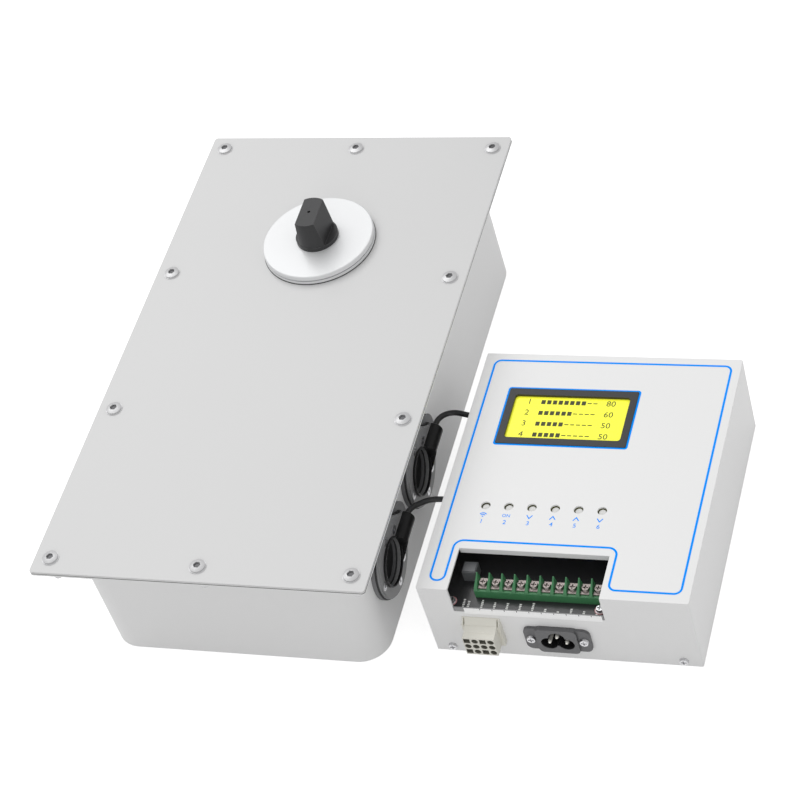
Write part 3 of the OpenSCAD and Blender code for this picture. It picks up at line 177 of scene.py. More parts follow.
def add(tree, kind, values=None, **settings):
    """A node of that kind, with its settings and with what feeds its inputs, by name or number."""
    node = tree.nodes.new(kind)
    for key, value in settings.items():
        setattr(node, key, value)
    for key, value in (values or {}).items():
        feed(tree, node.inputs[key], value)
    return node


def maths(tree, operation, first, second):
    """The result of a Math node whose two operands are numbers or sockets."""
    return add(tree, "ShaderNodeMath", {0: first, 1: second}, operation=operation).outputs[0]


def noise(tree, vector, scale, detail):
    """The value of a noise at a place."""
    return add(tree, "ShaderNodeTexNoise", {"Vector": vector, "Scale": scale, "Detail": detail}).outputs[0]


def object_place(tree):
    """A point's place on its object."""
    return add(tree, "ShaderNodeTexCoord").outputs["Object"]


def split(tree, vector):
    """The X, Y and Z of a vector."""
    return add(tree, "ShaderNodeSeparateXYZ", {0: vector}).outputs


def mix_colour(tree, mask, base, over):
    """Base colour with another over it where the mask says."""
    return add(tree, "ShaderNodeMix", {0: mask, 6: base, 7: (*over, 1)}, data_type="RGBA").outputs[2]


# Shared effects, each a node group with named sockets, of which these are no plain numbers

SOCKET_KINDS = {"Color": "NodeSocketColor", "Stretch": "NodeSocketVector"}


def new_group(name, inputs, outputs):
    """An empty shader node group, with the sockets that its nodes read and those that they feed."""
    group = bpy.data.node_groups.new(name, "ShaderNodeTree")
    def socket(label, side):
        kind = SOCKET_KINDS.get(label, "NodeSocketFloat")
        return group.interface.new_socket(name=label, in_out=side, socket_type=kind)
    for label, value in inputs.items():
        socket(label, "INPUT").default_value = value
    for label in outputs:
        socket(label, "OUTPUT")
    return group, group.nodes.new("NodeGroupInput").outputs, group.nodes.new("NodeGroupOutput").inputs


def grain_group():
    """Uneven colour in large soft patches and a fine relief, as on a coated or moulded surface."""
    group, start, end = new_group("coat grain", {
        "Color": (0.8, 0.8, 0.8, 1), "Roughness": 0.5, "Grain Scale": 900.0, "Patch Scale": 9.0,
        "Unevenness": 0.03,
    }, ["Color", "Roughness", "Height"])
    place = object_place(group)
    patch = maths(group, "SUBTRACT", noise(group, place, start["Patch Scale"], 3.0), 0.5)
    patch = maths(group, "MULTIPLY", patch, start["Unevenness"])
    value = maths(group, "ADD", patch, 1.0)
    tint = add(group, "ShaderNodeHueSaturation", {"Color": start["Color"], "Value": value})
    rough = maths(group, "MULTIPLY", patch, 1.5)
    feed(group, end["Color"], tint.outputs["Color"])
    feed(group, end["Roughness"], maths(group, "ADD", start["Roughness"], rough))
    feed(group, end["Height"], noise(group, place, start["Grain Scale"], 2.0))
    return group


def rub_group():
    """Mask of the narrow pale band along outer edges: worn edges on the drive's parts, a painted highlight
    on the outer parts.
    """
    group, start, end = new_group("edge rub", {"Width": 0.4 * MM, "Strength": 0.5}, ["Mask"])
    soft = add(group, "ShaderNodeBevel", {"Radius": start["Width"]}, samples=4).outputs["Normal"]
    plain = add(group, "ShaderNodeNewGeometry").outputs["True Normal"]
    alike = add(group, "ShaderNodeVectorMath", {0: soft, 1: plain}, operation="DOT_PRODUCT")
    gap = maths(group, "SUBTRACT", 1.0, alike.outputs["Value"])
    gap = maths(group, "MULTIPLY", gap, 4.0)
    gap = maths(group, "MULTIPLY", gap, noise(group, object_place(group), 260.0, 3.0))
    gap = maths(group, "MULTIPLY", gap, start["Strength"])
    feed(group, end["Mask"], maths(group, "MINIMUM", gap, 1.0))
    return group


def turned_group():
    """Fine rings about the spindle's axis, as a lathe leaves them."""
    group, start, end = new_group("turned rings", {"Ring Scale": 2200.0}, ["Height"])
    place = split(group, object_place(group))
    flat = add(group, "ShaderNodeCombineXYZ", {"X": place["X"], "Y": place["Y"]})
    radius = add(group, "ShaderNodeVectorMath", {0: flat.outputs[0]}, operation="LENGTH")
    grow = maths(group, "MULTIPLY", radius.outputs["Value"], start["Ring Scale"])
    line = add(group, "ShaderNodeTexNoise", {"W": grow, "Scale": 1.0, "Detail": 2.0}, noise_dimensions="1D")
    feed(group, end["Height"], line.outputs[0])
    return group


def brushed_group():
    """Long fine scratches along one direction, as on rolled or brushed metal."""
    group, start, end = new_group("brushed lines", {"Stretch": (40.0, 40.0, 1800.0)}, ["Height"])
    long = add(group, "ShaderNodeVectorMath", {0: object_place(group), 1: start["Stretch"]},
               operation="MULTIPLY")
    feed(group, end["Height"], noise(group, long.outputs[0], 1.0, 2.0))
    return group


def dust_group():
    """Mask of light dust that settles on faces that look up."""
    group, start, end = new_group("settled dust", {"Amount": 0.1, "Patch Scale": 60.0}, ["Mask"])
    slope = split(group, add(group, "ShaderNodeNewGeometry").outputs["Normal"])
    up = maths(group, "MAXIMUM", slope["Z"], 0.0)
    mask = maths(group, "MULTIPLY", up, noise(group, object_place(group), start["Patch Scale"], 4.0))
    feed(group, end["Mask"], maths(group, "MULTIPLY", mask, start["Amount"]))
    return group


EFFECTS = {}


def effect(tree, maker, values=None):
    """What a shared effect puts out. Its group is made the first time it is used."""
    if maker not in EFFECTS:
        EFFECTS[maker] = maker()
    return add(tree, "ShaderNodeGroup", values, node_tree=EFFECTS[maker]).outputs


# Finishes

DUST_TONE = (0.55, 0.53, 0.5)
COAT_ROUGHNESS = 0.12
RELIEF = 0.2 * MM


def finish(
    name, tone, roughness, metal=0.0, grain=1500.0, depth=0.04, uneven=0.04, relief=None,
    rub=None, rub_width=0.4 * MM, dust=0.0, coat=0.0, glow=0.0, specular=0.5, edge=0.3 * MM,
):
    """A finish for one kind of surface: colour that varies, a relief of its own, pale edges that are worn on
    some parts and painted highlights on others, and dust.
    """
    if name in bpy.data.materials:
        return bpy.data.materials[name]
    material = bpy.data.materials.new(name)
    material.use_nodes = True
    material.diffuse_color = (*tone, 1)
    tree = material.node_tree
    surface = tree.nodes["Principled BSDF"].inputs
    surface["Metallic"].default_value = metal
    surface["Specular IOR Level"].default_value = specular
    surface["Coat Weight"].default_value = coat
    surface["Coat Roughness"].default_value = COAT_ROUGHNESS
    if glow:
        surface["Emission Color"].default_value = (*tone, 1)
        surface["Emission Strength"].default_value = glow
    skin = effect(tree, grain_group, {
        "Color": (*tone, 1), "Roughness": roughness, "Grain Scale": grain, "Unevenness": uneven,
    })
    shade = skin["Color"]
    if rub:
        shade = mix_colour(tree, effect(tree, rub_group, {"Width": rub_width})["Mask"], shade, rub)
    if dust:
        shade = mix_colour(tree, effect(tree, dust_group, {"Amount": dust})["Mask"], shade, DUST_TONE)
    height = effect(tree, relief)["Height"] if relief else skin["Height"]
    bump = add(tree, "ShaderNodeBump", {"Strength": depth, "Distance": RELIEF, "Height": height})
    if edge:
        soft = add(tree, "ShaderNodeBevel", {"Radius": edge}, samples=4)
        feed(tree, bump.inputs["Normal"], soft.outputs["Normal"])
    feed(tree, surface["Base Color"], shade)
    feed(tree, surface["Roughness"], skin["Roughness"])
    feed(tree, surface["Normal"], bump.outputs["Normal"])
    return material


def tint_where(material, mask, tone):
    """Lays another tone over a finish where the mask says."""
    tree = material.node_tree
    base = tree.nodes["Principled BSDF"].inputs["Base Color"]
    feed(tree, base, mix_colour(tree, mask, base.links[0].from_socket, tone))


def shade_inside(material, low, high, tone):
    """Darkens a finish within a box, as in the depth of a recess."""
    tree = material.node_tree
    low, high = Vector(low), Vector(high)
    middle = (low + high) / 2
    shift = add(tree, "ShaderNodeVectorMath", {0: object_place(tree), 1: middle}, operation="SUBTRACT")
    away = add(tree, "ShaderNodeVectorMath", {0: shift.outputs[0]}, operation="ABSOLUTE")
    away = split(tree, away.outputs[0])
    mask = 1.0
    for axis, half in zip("XYZ", (high - low) / 2):
        inside = maths(tree, "LESS_THAN", away[axis], half)
        mask = maths(tree, "MULTIPLY", inside, mask)
    tint_where(material, mask, tone)


def dress(nodes, *look, **settings):
    """Gives solids of the frame their finish, which takes the rest of the arguments."""
    material = finish(*look, **settings)
    for name in nodes:
        mesh = NODES[name].data
        mesh.materials.clear()
        mesh.materials.append(material)
    return material


# Making of new pieces

def new_object(name, data):
    """An object in the scene, made from its data."""
    made = bpy.data.objects.new(name, data)
    bpy.context.scene.collection.objects.link(made)
    return made


def add_piece(name, bm, material, smooth=40.0):
    """Turns a finished bmesh into a piece that rides on the housings."""
    mesh = bpy.data.meshes.new(name)
    bmesh.ops.recalc_face_normals(bm, faces=bm.faces)
    bm.to_mesh(mesh)
    bm.free()
    mesh.polygons.foreach_set("use_smooth", [True] * len(mesh.polygons))
    mesh.set_sharp_from_angle(angle=math.radians(smooth))
    mesh.materials.append(material)
    piece = new_object(name, mesh)
    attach(piece, HOUSINGS)
    return piece


def lift(bm, place):
    """Moves a whole bmesh from where it was drawn to where it belongs."""
    bmesh.ops.translate(bm, verts=bm.verts, vec=place)


def block(bm, low, high):
    """A box between two corners."""
    low, high = Vector(low), Vector(high)
    verts = bmesh.ops.create_cube(bm, size=1)["verts"]
    bmesh.ops.scale(bm, verts=verts, vec=high - low)
    bmesh.ops.translate(bm, verts=verts, vec=(low + high) / 2)


def turn_round(bm, axis, steps):
    """Turns a closed outline right round an axis through the origin."""
    bmesh.ops.spin(
        bm, geom=bm.edges[:], cent=(0, 0, 0), axis=axis, angle=math.tau, steps=steps, use_merge=True,
    )


def raise_film(bm, pairs, film):
    """Fills the strip between pairs of points and gives it its thickness."""
    faces = [bm.faces.new((a[0], b[0], b[1], a[1])) for a, b in pairs]
    grown = bmesh.ops.extrude_face_region(bm, geom=faces)
    moved = [v for v in grown["geom"] if isinstance(v, bmesh.types.BMVert)]
    bmesh.ops.translate(bm, verts=moved, vec=(0, 0, film))


def outline_ribbon(bm, corners, radius, width, film):
    """A closed printed line with round corners. Its outer edge follows the corners, anticlockwise."""
    steps = 8
    rims = []
    places = [Vector((x, y, 0)) for x, y in corners]
    for index, here in enumerate(places):
        before = (places[index - 1] - here).normalized()
        after = (places[(index + 1) % len(places)] - here).normalized()
        middle = here + (before + after) * radius
        inner = radius - width if after.cross(before).z > 0 else radius + width
        for step in range(steps + 1):
            turn = math.pi / 2 * step / steps
            ray = after * math.cos(turn) + before * math.sin(turn)
            rims.append((bm.verts.new(middle - ray * radius), bm.verts.new(middle - ray * inner)))
    raise_film(bm, zip(rims, rims[1:] + rims[:1]), film)


def stroke(bm, points, width, film):
    """A flat printed line through the points, with mitred bends."""
    path = [Vector((*p, 0)) for p in points]
    rims = []
    for index, point in enumerate(path):
        before = path[max(index - 1, 0)]
        after = path[min(index + 1, len(path) - 1)]
        along = (after - before).normalized()
        side = Vector((-along.y, along.x, 0))
        reach = width / 2
        if 0 < index < len(path) - 1:
            first = (point - before).normalized()
            reach /= max(0.3, abs(first.dot(along)))
        rims.append((bm.verts.new(point - side * reach), bm.verts.new(point + side * reach)))
    raise_film(bm, zip(rims, rims[1:]), film)


def bar(bm, x0, y0, x1, y1, film):
    """A flat printed rectangle."""
    block(bm, (x0, y0, 0), (x1, y1, film))


def figures(bm, text, height, x, y, film):
    """Plain figures from the built-in font, put into the bmesh about a place."""
    curve = bpy.data.curves.new("figures", "FONT")
    curve.body = text
    curve.size = height / FIGURE_SHARE
    curve.align_x = curve.align_y = "CENTER"
    curve.extrude = film / 2
    curve.resolution_u = 3
    holder = new_object("figures", curve)
    bpy.context.view_layer.update()
    mesh = bpy.data.meshes.new_from_object(holder)
    mesh.transform(Matrix.Translation((x, y, film / 2)))
    bm.from_mesh(mesh)
    bpy.data.objects.remove(holder)
    bpy.data.curves.remove(curve)
    bpy.data.meshes.remove(mesh)


# Operators, one for each piece or group of like pieces

class DOOR_OT_camera(Operator):
    """Place the camera where the reference view was taken"""

    bl_idname = "door.camera"
    bl_label = "Camera"

    def execute(self, context):
        view = context.scene.door_view
        az, el, roll = view.azimuth, view.elevation, view.roll
        back = Vector((math.sin(az) * math.cos(el), -math.cos(az) * math.cos(el), math.sin(el)))
        right = Vector((math.cos(az), math.sin(az), 0))
        up = back.cross(right)
        side = math.cos(roll) * right + math.sin(roll) * up
        top = -math.sin(roll) * right + math.cos(roll) * up
        turn = Matrix((side, top, back)).transposed().to_4x4()
        data = bpy.data.cameras.new("reference view")
        data.lens = view.focal
        data.sensor_width = 36
        data.clip_end = 20
        camera = new_object("reference view", data)
        camera.matrix_world = Matrix.Translation(view.place) @ turn
        context.scene.camera = camera
        return {"FINISHED"}


class DOOR_OT_stage(Operator):
    """Make the pale floor, the soft lights and the even sky"""

    bl_idname = "door.stage"
    bl_label = "Studio"

    # Each lamp's place and width in metres, and its share of the key light's power
    lamps = {
        "key light": ((-0.75, 0.55, 1.5), 1.3, 1.0),
        "side light": ((1.6, -0.2, 1.0), 0.9, 0.1),
        "front light": ((0.2, -1.7, 0.9), 1.0, 0.26),
    }
    # The point that all lamps face
    aim = Vector((0.07, -0.1, 0.05))
    # The floor's middle, a hair below the part's foot, and half its width
    floor_place = (0.1, -0.1, -0.0004)
    floor_half = 6
    # How much of the floor's colour the lamps show, and how much shines by itself
    floor_lit = 0.62
    floor_glow = 0.75

    def execute(self, context):
        view = context.scene.door_view
        bm = bmesh.new()
        bmesh.ops.create_grid(bm, x_segments=1, y_segments=1, size=self.floor_half)
        lift(bm, self.floor_place)
        mesh = bpy.data.meshes.new("studio_floor")
        bm.to_mesh(mesh)
        bm.free()
        mesh.materials.append(self.floor_material(view.floor))
        floor = new_object("studio_floor", mesh)
        floor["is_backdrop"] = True
        for name, (place, width, share) in self.lamps.items():
            self.lamp(name, place, width, view.key_light * share)
        self.sky(context, view.sky_light)
        return {"FINISHED"}

    def floor_material(self, tone):
        """White where the camera or a reflection sees it, and plain for the shadows."""
        material = bpy.data.materials.new("studio floor")
        material.use_nodes = True
        tree = material.node_tree
        surface = tree.nodes["Principled BSDF"]
        surface.inputs["Base Color"].default_value = (*(self.floor_lit * c for c in tone), 1)
        surface.inputs["Roughness"].default_value = 0.9
        surface.inputs["Specular IOR Level"].default_value = 0.0
        seen = add(tree, "ShaderNodeLightPath").outputs
        shown = maths(tree, "MAXIMUM", seen["Is Camera Ray"], seen["Is Glossy Ray"])
        strength = maths(tree, "MULTIPLY", shown, self.floor_glow)
        glow = add(tree, "ShaderNodeEmission", {"Color": (*tone, 1), "Strength": strength})
        both = add(tree, "ShaderNodeAddShader", {0: surface.outputs[0], 1: glow.outputs[0]})
        feed(tree, tree.nodes["Material Output"].inputs["Surface"], both.outputs[0])
        return material

    def lamp(self, name, place, width, power):
        """A large square light that faces the part."""
        data = bpy.data.lights.new(name, "AREA")
        data.size = width
        data.energy = power
        turn = (self.aim - Vector(place)).to_track_quat("-Z", "Y").to_matrix().to_4x4()
        new_object(name, data).matrix_world = Matrix.Translation(place) @ turn

    @staticmethod
    def sky(context, strength):
        """Even light all round, plain white where the camera sees it."""
        world = bpy.data.worlds.new("studio sky")
        context.scene.world = world
        world.use_nodes = True
        tree = world.node_tree
        tree.nodes.clear()
        light = add(tree, "ShaderNodeBackground", {"Color": (1, 1, 1, 1), "Strength": strength})
        plain = add(tree, "ShaderNodeBackground", {"Color": (1, 1, 1, 1), "Strength": 1.0})
        seen = add(tree, "ShaderNodeLightPath").outputs["Is Camera Ray"]
        pick = add(tree, "ShaderNodeMixShader", {0: seen, 1: light.outputs[0], 2: plain.outputs[0]})
        add(tree, "ShaderNodeOutputWorld", {"Surface": pick.outputs[0]})


class DOOR_OT_housing(Operator):
    """Finish the tank, the cover plate, the washers and the screws"""

    bl_idname = "door.housing"
    bl_label = "Tank and cover"

    # Height over the washers under which a cover screw's socket is dark, and how flat its floor is
    socket_floor = 0.85 * MM
    socket_flatness = 0.97

    def execute(self, context):
        tones = context.scene.door_colours
        # The tank's faint glow is painted light that lifts its walls where the plate and the control unit
        # shade them.
        dress(["tank", "tank_flange"], "tank powder coat", tones.tank, 0.5, grain=700, depth=0.06, dust=0.03,
              glow=0.05)
        # The plate's pale edge band is a painted highlight along its edges.
        dress(["cover_plate"], "plate satin paint", tones.plate, 0.38, depth=0.02, uneven=0.02,
              rub=linear(240, 240, 240))
        dress(["gland_seats"], "gland seat coat", linear(112, 112, 114), 0.45, grain=900)
        screw = dress(["cover_screws"], "cover screw steel", linear(204, 204, 205), 0.42, metal=0.5,
                      grain=2600, depth=0.05, uneven=0.06)
        self.darken_sockets(screw)
        dress(["cover_washers"], "washer steel", linear(226, 226, 227), 0.5, metal=0.4, grain=2600,
              depth=0.05, uneven=0.06)
        dress(["gland_screws", "control_screws", "board_screws", "inlet_screws", "foot_nuts"],
              "plated screw steel", linear(206, 206, 208), 0.28, metal=1.0, grain=2600, depth=0.06,
              uneven=0.12)
        dress(["terminal_screws"], "terminal screw steel", linear(158, 149, 146), 0.45, metal=1.0,
              grain=2600, depth=0.06, uneven=0.15)
        return {"FINISHED"}

    def darken_sockets(self, material):
        """Shades the flat floors of the hexagon sockets, where little light reaches."""
        tree = material.node_tree
        height = split(tree, object_place(tree))["Z"]
        slope = split(tree, add(tree, "ShaderNodeNewGeometry").outputs["True Normal"])["Z"]
        deep = maths(tree, "LESS_THAN", height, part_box("cover_washers")[1].z + self.socket_floor)
        flat = maths(tree, "GREATER_THAN", slope, self.socket_flatness)
        tint_where(material, maths(tree, "MULTIPLY", deep, flat), linear(96, 96, 98))


class DOOR_OT_spindle(Operator):
    """Finish the spindle, its cap disc and the fixed ring, and add the dark bead of painted shade round the
    ring's foot
    """

    bl_idname = "door.spindle"
    bl_label = "Spindle and cap"

    # The bead's thickness, and its middle from the ring's edge and above the plate
    bead_radius = 0.3 * MM
    bead_out = 0.05 * MM
    bead_up = 0.25 * MM

    def execute(self, context):
        tones = context.scene.door_colours
        dress(["cap_disc"], "turned disc metal", tones.disc, 0.42, metal=0.25, relief=turned_group,
              depth=0.12, uneven=0.02)
        dress(["seal_ring"], "turned ring metal", linear(232, 233, 234), 0.5, metal=0.3, relief=turned_group,
              depth=0.15)
        # The spindle's paler edge band is partly worn blackening and partly a painted highlight along its
        # edges.
        dress(["spindle"], "blackened steel", tones.spindle, 0.42, metal=0.4, grain=1400, depth=0.14,
              uneven=0.1, rub=linear(120, 120, 122), rub_width=0.6 * MM)
        self.ring_bead()
        return {"FINISHED"}

    def ring_bead(self):
        """A dark bead round the fixed ring's foot, painted shade for the shadow gap between the ring and the
        plate.
        """
        low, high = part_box("seal_ring")
        middle = (low + high) / 2
        radius = (high.x - low.x) / 2
        bm = bmesh.new()
        section = bmesh.ops.create_circle(bm, segments=10, radius=self.bead_radius)["verts"]
        upright = Matrix.Rotation(math.pi / 2, 3, "X")
        bmesh.ops.rotate(bm, verts=section, cent=(0, 0, 0), matrix=upright)
        bmesh.ops.translate(bm, verts=section, vec=(radius + self.bead_out, 0, self.bead_up))
        turn_round(bm, (0, 0, 1), 120)
        lift(bm, (middle.x, middle.y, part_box("cover_plate")[1].z))
        add_piece("ring_bead", bm, finish("painted shadow gap", linear(38, 38, 40), 0.5, depth=0.1, edge=0))


class DOOR_OT_glands(Operator):
    """Finish the cable glands, and add their barrels' tails and the collars round their bores"""

    bl_idname = "door.glands"
    bl_label = "Cable glands"

    # Middle of each bore, in millimetres
    bores = [(89.5, -146.5, 47.0), (89.5, -216.0, 47.0)]
    # The tail's rings from a bore's middle: out, along and up, then radius and lean in degrees
    tail = [
        (6.5, 17.6, 3.0, 5.4, 0), (6.4, 15.4, 2.3, 5.5, 12), (5.7, 13.2, 0.2, 5.5, 24),
        (4.6, 11.4, -3.2, 5.1, 36), (3.9, 9.8, -6.4, 4.4, 44), (3.8, 8.2, -9.2, 3.3, 50),
        (4.2, 6.6, -11.6, 2.2, 54), (5.0, 5.0, -13.6, 1.0, 56),
    ]
    # Radius of the rim, where the tail ends
    rim = 14.9 * MM
    # Size and middle of the collar's section, out of the wall and from the bore's middle, and its rounding
    collar_size = (2.0 * MM, 0.9 * MM, 0)
    collar_place = (6.1 * MM, 14.7 * MM, 0)
    collar_round = 0.3 * MM
    # How far out of its seat a gland is barrel and no longer flange
    barrel_from = 3.15 * MM

    def execute(self, context):
        tones = context.scene.door_colours
        # The pale edge band on the gland flanges and the bore collars is a painted highlight along their
        # rims.
        painted_highlight = linear(200, 200, 202)
        flange = dress(["gland_bodies"], "gland plastic", tones.gland, 0.36, grain=1100, depth=0.12,
                       uneven=0.06, rub=painted_highlight, rub_width=0.6 * MM, specular=0.25)
        self.darken_barrel(flange, tones.barrel)
        barrel = finish("barrel plastic", tones.barrel, 0.36, grain=1100, depth=0.06, uneven=0.06,
                        specular=0.22)
        collar = finish("collar plastic", tones.barrel, 0.36, grain=1100, depth=0.06, specular=0.25,
                        rub=painted_highlight, rub_width=0.5 * MM)
        for number, bore in enumerate(self.bores, 1):
            middle = Vector(bore) * MM
            self.barrel_tail("barrel_tail_%d" % number, middle, barrel)
            self.bore_collar("bore_collar_%d" % number, middle, collar)
        dress(["gland_gaskets", "tank_gasket", "ring_seal", "stop_buffers", "lead_grommets"],
              "soft black rubber", tones.rubber, 0.62, grain=1300, depth=0.2, uneven=0.1)
        dress(["gland_plugs"], "plug rubber", linear(24, 24, 25), 0.35, grain=1300, depth=0.08)
        return {"FINISHED"}

    def darken_barrel(self, material, tone):
        """Keeps the barrel, which stands out past the flange, as black as its tail."""
        tree = material.node_tree
        out = split(tree, object_place(tree))["X"]
        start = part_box("gland_seats")[1].x + self.barrel_from
        tint_where(material, maths(tree, "GREATER_THAN", out, start), tone)

    def bore_collar(self, name, middle, material):
        """The low collar that stands round a bore."""
        bm = bmesh.new()
        section = bmesh.ops.create_grid(bm, x_segments=1, y_segments=1, size=0.5)["verts"]
        bmesh.ops.scale(bm, verts=section, vec=self.collar_size)
        bmesh.ops.translate(bm, verts=section, vec=self.collar_place)
        bmesh.ops.bevel(
            bm, geom=bm.verts[:], offset=self.collar_round, segments=3, profile=0.5, affect="VERTICES",
            material=-1,
        )
        bmesh.ops.delete(bm, geom=bm.faces[:], context="FACES_ONLY")
        turn_round(bm, (1, 0, 0), 96)
        lift(bm, middle)
        add_piece(name, bm, material, smooth=50)

    def barrel_tail(self, name, middle, material):
        """The barrel's tapered tail, which the round bore's rim cuts off."""
        bm = bmesh.new()
        loops = []
        for out, along, rise, radius, lean in self.tail:
            ring = bmesh.ops.create_circle(bm, segments=32, radius=radius * MM)["verts"]
            place = Matrix.Translation(Vector((out, along, rise)) * MM)
            turn = Matrix.Rotation(math.radians(90 + lean), 4, "X")
            bmesh.ops.transform(bm, matrix=place @ turn, verts=ring)
            loops.append([edge for edge in bm.edges if all(v in ring for v in edge.verts)])
        for first, second in zip(loops, loops[1:]):
            bmesh.ops.bridge_loops(bm, edges=first + second)
        bmesh.ops.holes_fill(bm, edges=bm.edges)
        for vert in bm.verts:
            push = max(self.rim / math.hypot(vert.co.y, vert.co.z), 1)
            vert.co.y *= push
            vert.co.z *= push
        lift(bm, middle)
        add_piece(name, bm, material)


class DOOR_OT_leads(Operator):
    """Draw the two leads as smooth cords along the routes of their solids"""

    bl_idname = "door.leads"
    bl_label = "Leads"

    # Where each lead leaves its gland, and its route from there, in millimetres
    exits = {"lead_upper": (96.0, -114.17, 50.0), "lead_lower": (96.0, -183.67, 50.0)}
    routes = {
        "lead_upper": [
            (0, 0, 0), (0, 1.98, 0), (0.1, 3.96, 0.1), (0.5, 5.9, 0.22), (1.32, 7.71, 0.36),
            (2.54, 9.3, 0.45), (4.04, 10.6, 0.46), (5.77, 11.58, 0.42), (7.65, 12.24, 0.34),
            (9.6, 12.61, 0.24), (11.58, 12.7, 0.11), (13.56, 12.57, -0.02), (15.5, 12.28, -0.16),
            (17.45, 11.91, -0.31), (19.4, 11.63, -0.43), (21.4, 11.5, -0.5), (25.4, 11.5, -0.5),
        ],
        "lead_lower": [
            (0, 0, 0), (0, 0.9, 0), (0.16, 2.46, 0.08), (0.65, 3.95, 0.2), (1.43, 5.31, 0.35),
            (2.2, 6.2, 0.47), (3.3, 7.2, 0.6), (4.6, 8.2, 0.7), (6.0, 9.1, 0.78), (7.5, 10, 0.84),
            (9.0, 10.9, 0.88), (10.6, 11.75, 0.85), (12.35, 12.42, 0.76), (14.1, 12.95, 0.64),
            (15.9, 13.34, 0.52), (17.7, 13.59, 0.4), (19.6, 13.74, 0.31), (21.4, 13.8, 0.25),
            (25.4, 13.8, 0.25),
        ],
    }

    def execute(self, context):
        rubber = finish("lead rubber", context.scene.door_colours.rubber, 0.34, depth=0.06, uneven=0.08,
                        edge=0)
        size = context.scene.door_sizes.lead_diameter
        for node, route in self.routes.items():
            start = Vector(self.exits[node]) * MM
            points = [start + Vector(place) * MM for place in route]
            data = bpy.data.curves.new(node + "_jacket", "CURVE")
            data.dimensions = "3D"
            data.bevel_depth = size / 2
            data.bevel_resolution = 6
            data.resolution_u = 6
            data.use_fill_caps = True
            self.lay_spline(data.splines.new("BEZIER"), points)
            data.materials.append(rubber)
            lead = new_object(node + "_jacket", data)
            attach(lead, HOUSINGS)
            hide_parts(node)
        return {"FINISHED"}

    @staticmethod
    def lay_spline(line, points):
        """Puts the spline through the points, each with handles along the way past it."""
        line.bezier_points.add(len(points) - 1)
        for index, spot in enumerate(line.bezier_points):
            here = points[index]
            before = points[max(index - 1, 0)]
            after = points[min(index + 1, len(points) - 1)]
            along = (after - before).normalized()
            spot.handle_left_type = spot.handle_right_type = "FREE"
            spot.co = here
            spot.handle_left = here - along * (here - before).length / 3
            spot.handle_right = here + along * (after - here).length / 3


class DOOR_OT_drive(Operator):
    """Finish the gear train, bearings, motor and casting inside the tank"""

    bl_idname = "door.drive"
    bl_label = "Drive inside the tank"

    def execute(self, context):
        dress(["output_gear", "idler_gear", "idler_shaft", "drive_pinion", "spindle_key"],
              "hobbed gear steel", linear(140, 142, 146), 0.32, metal=1.0, grain=1800, depth=0.1,
              uneven=0.12, rub=linear(205, 205, 208))
        dress(["outer_races", "inner_races", "bearing_balls"], "ground bearing steel", linear(214, 215, 218),
              0.12, metal=1.0, relief=turned_group, depth=0.05)
        dress(["gear_case", "case_lid"], "die casting", linear(168, 169, 171), 0.55, metal=0.85,
              grain=800, depth=0.35, uneven=0.12, rub=linear(210, 210, 212))
        dress(["case_screws", "retaining_ring"], "black oxide steel", linear(52, 52, 55), 0.4, metal=0.8,
              grain=1800, depth=0.1)
        dress(["shaft_seal"], "nitrile rubber", linear(104, 60, 38), 0.6, grain=1300, depth=0.15)
        dress(["idler_bushes"], "sintered bronze", linear(178, 132, 84), 0.42, metal=1.0, grain=1600,
              depth=0.15, uneven=0.15)
        dress(["motor"], "motor enamel", linear(40, 40, 43), 0.3, grain=700, depth=0.08, coat=0.3)
        dress(["gearhead"], "machined zinc", linear(184, 185, 188), 0.35, metal=1.0, relief=brushed_group,
              depth=0.12)
        return {"FINISHED"}


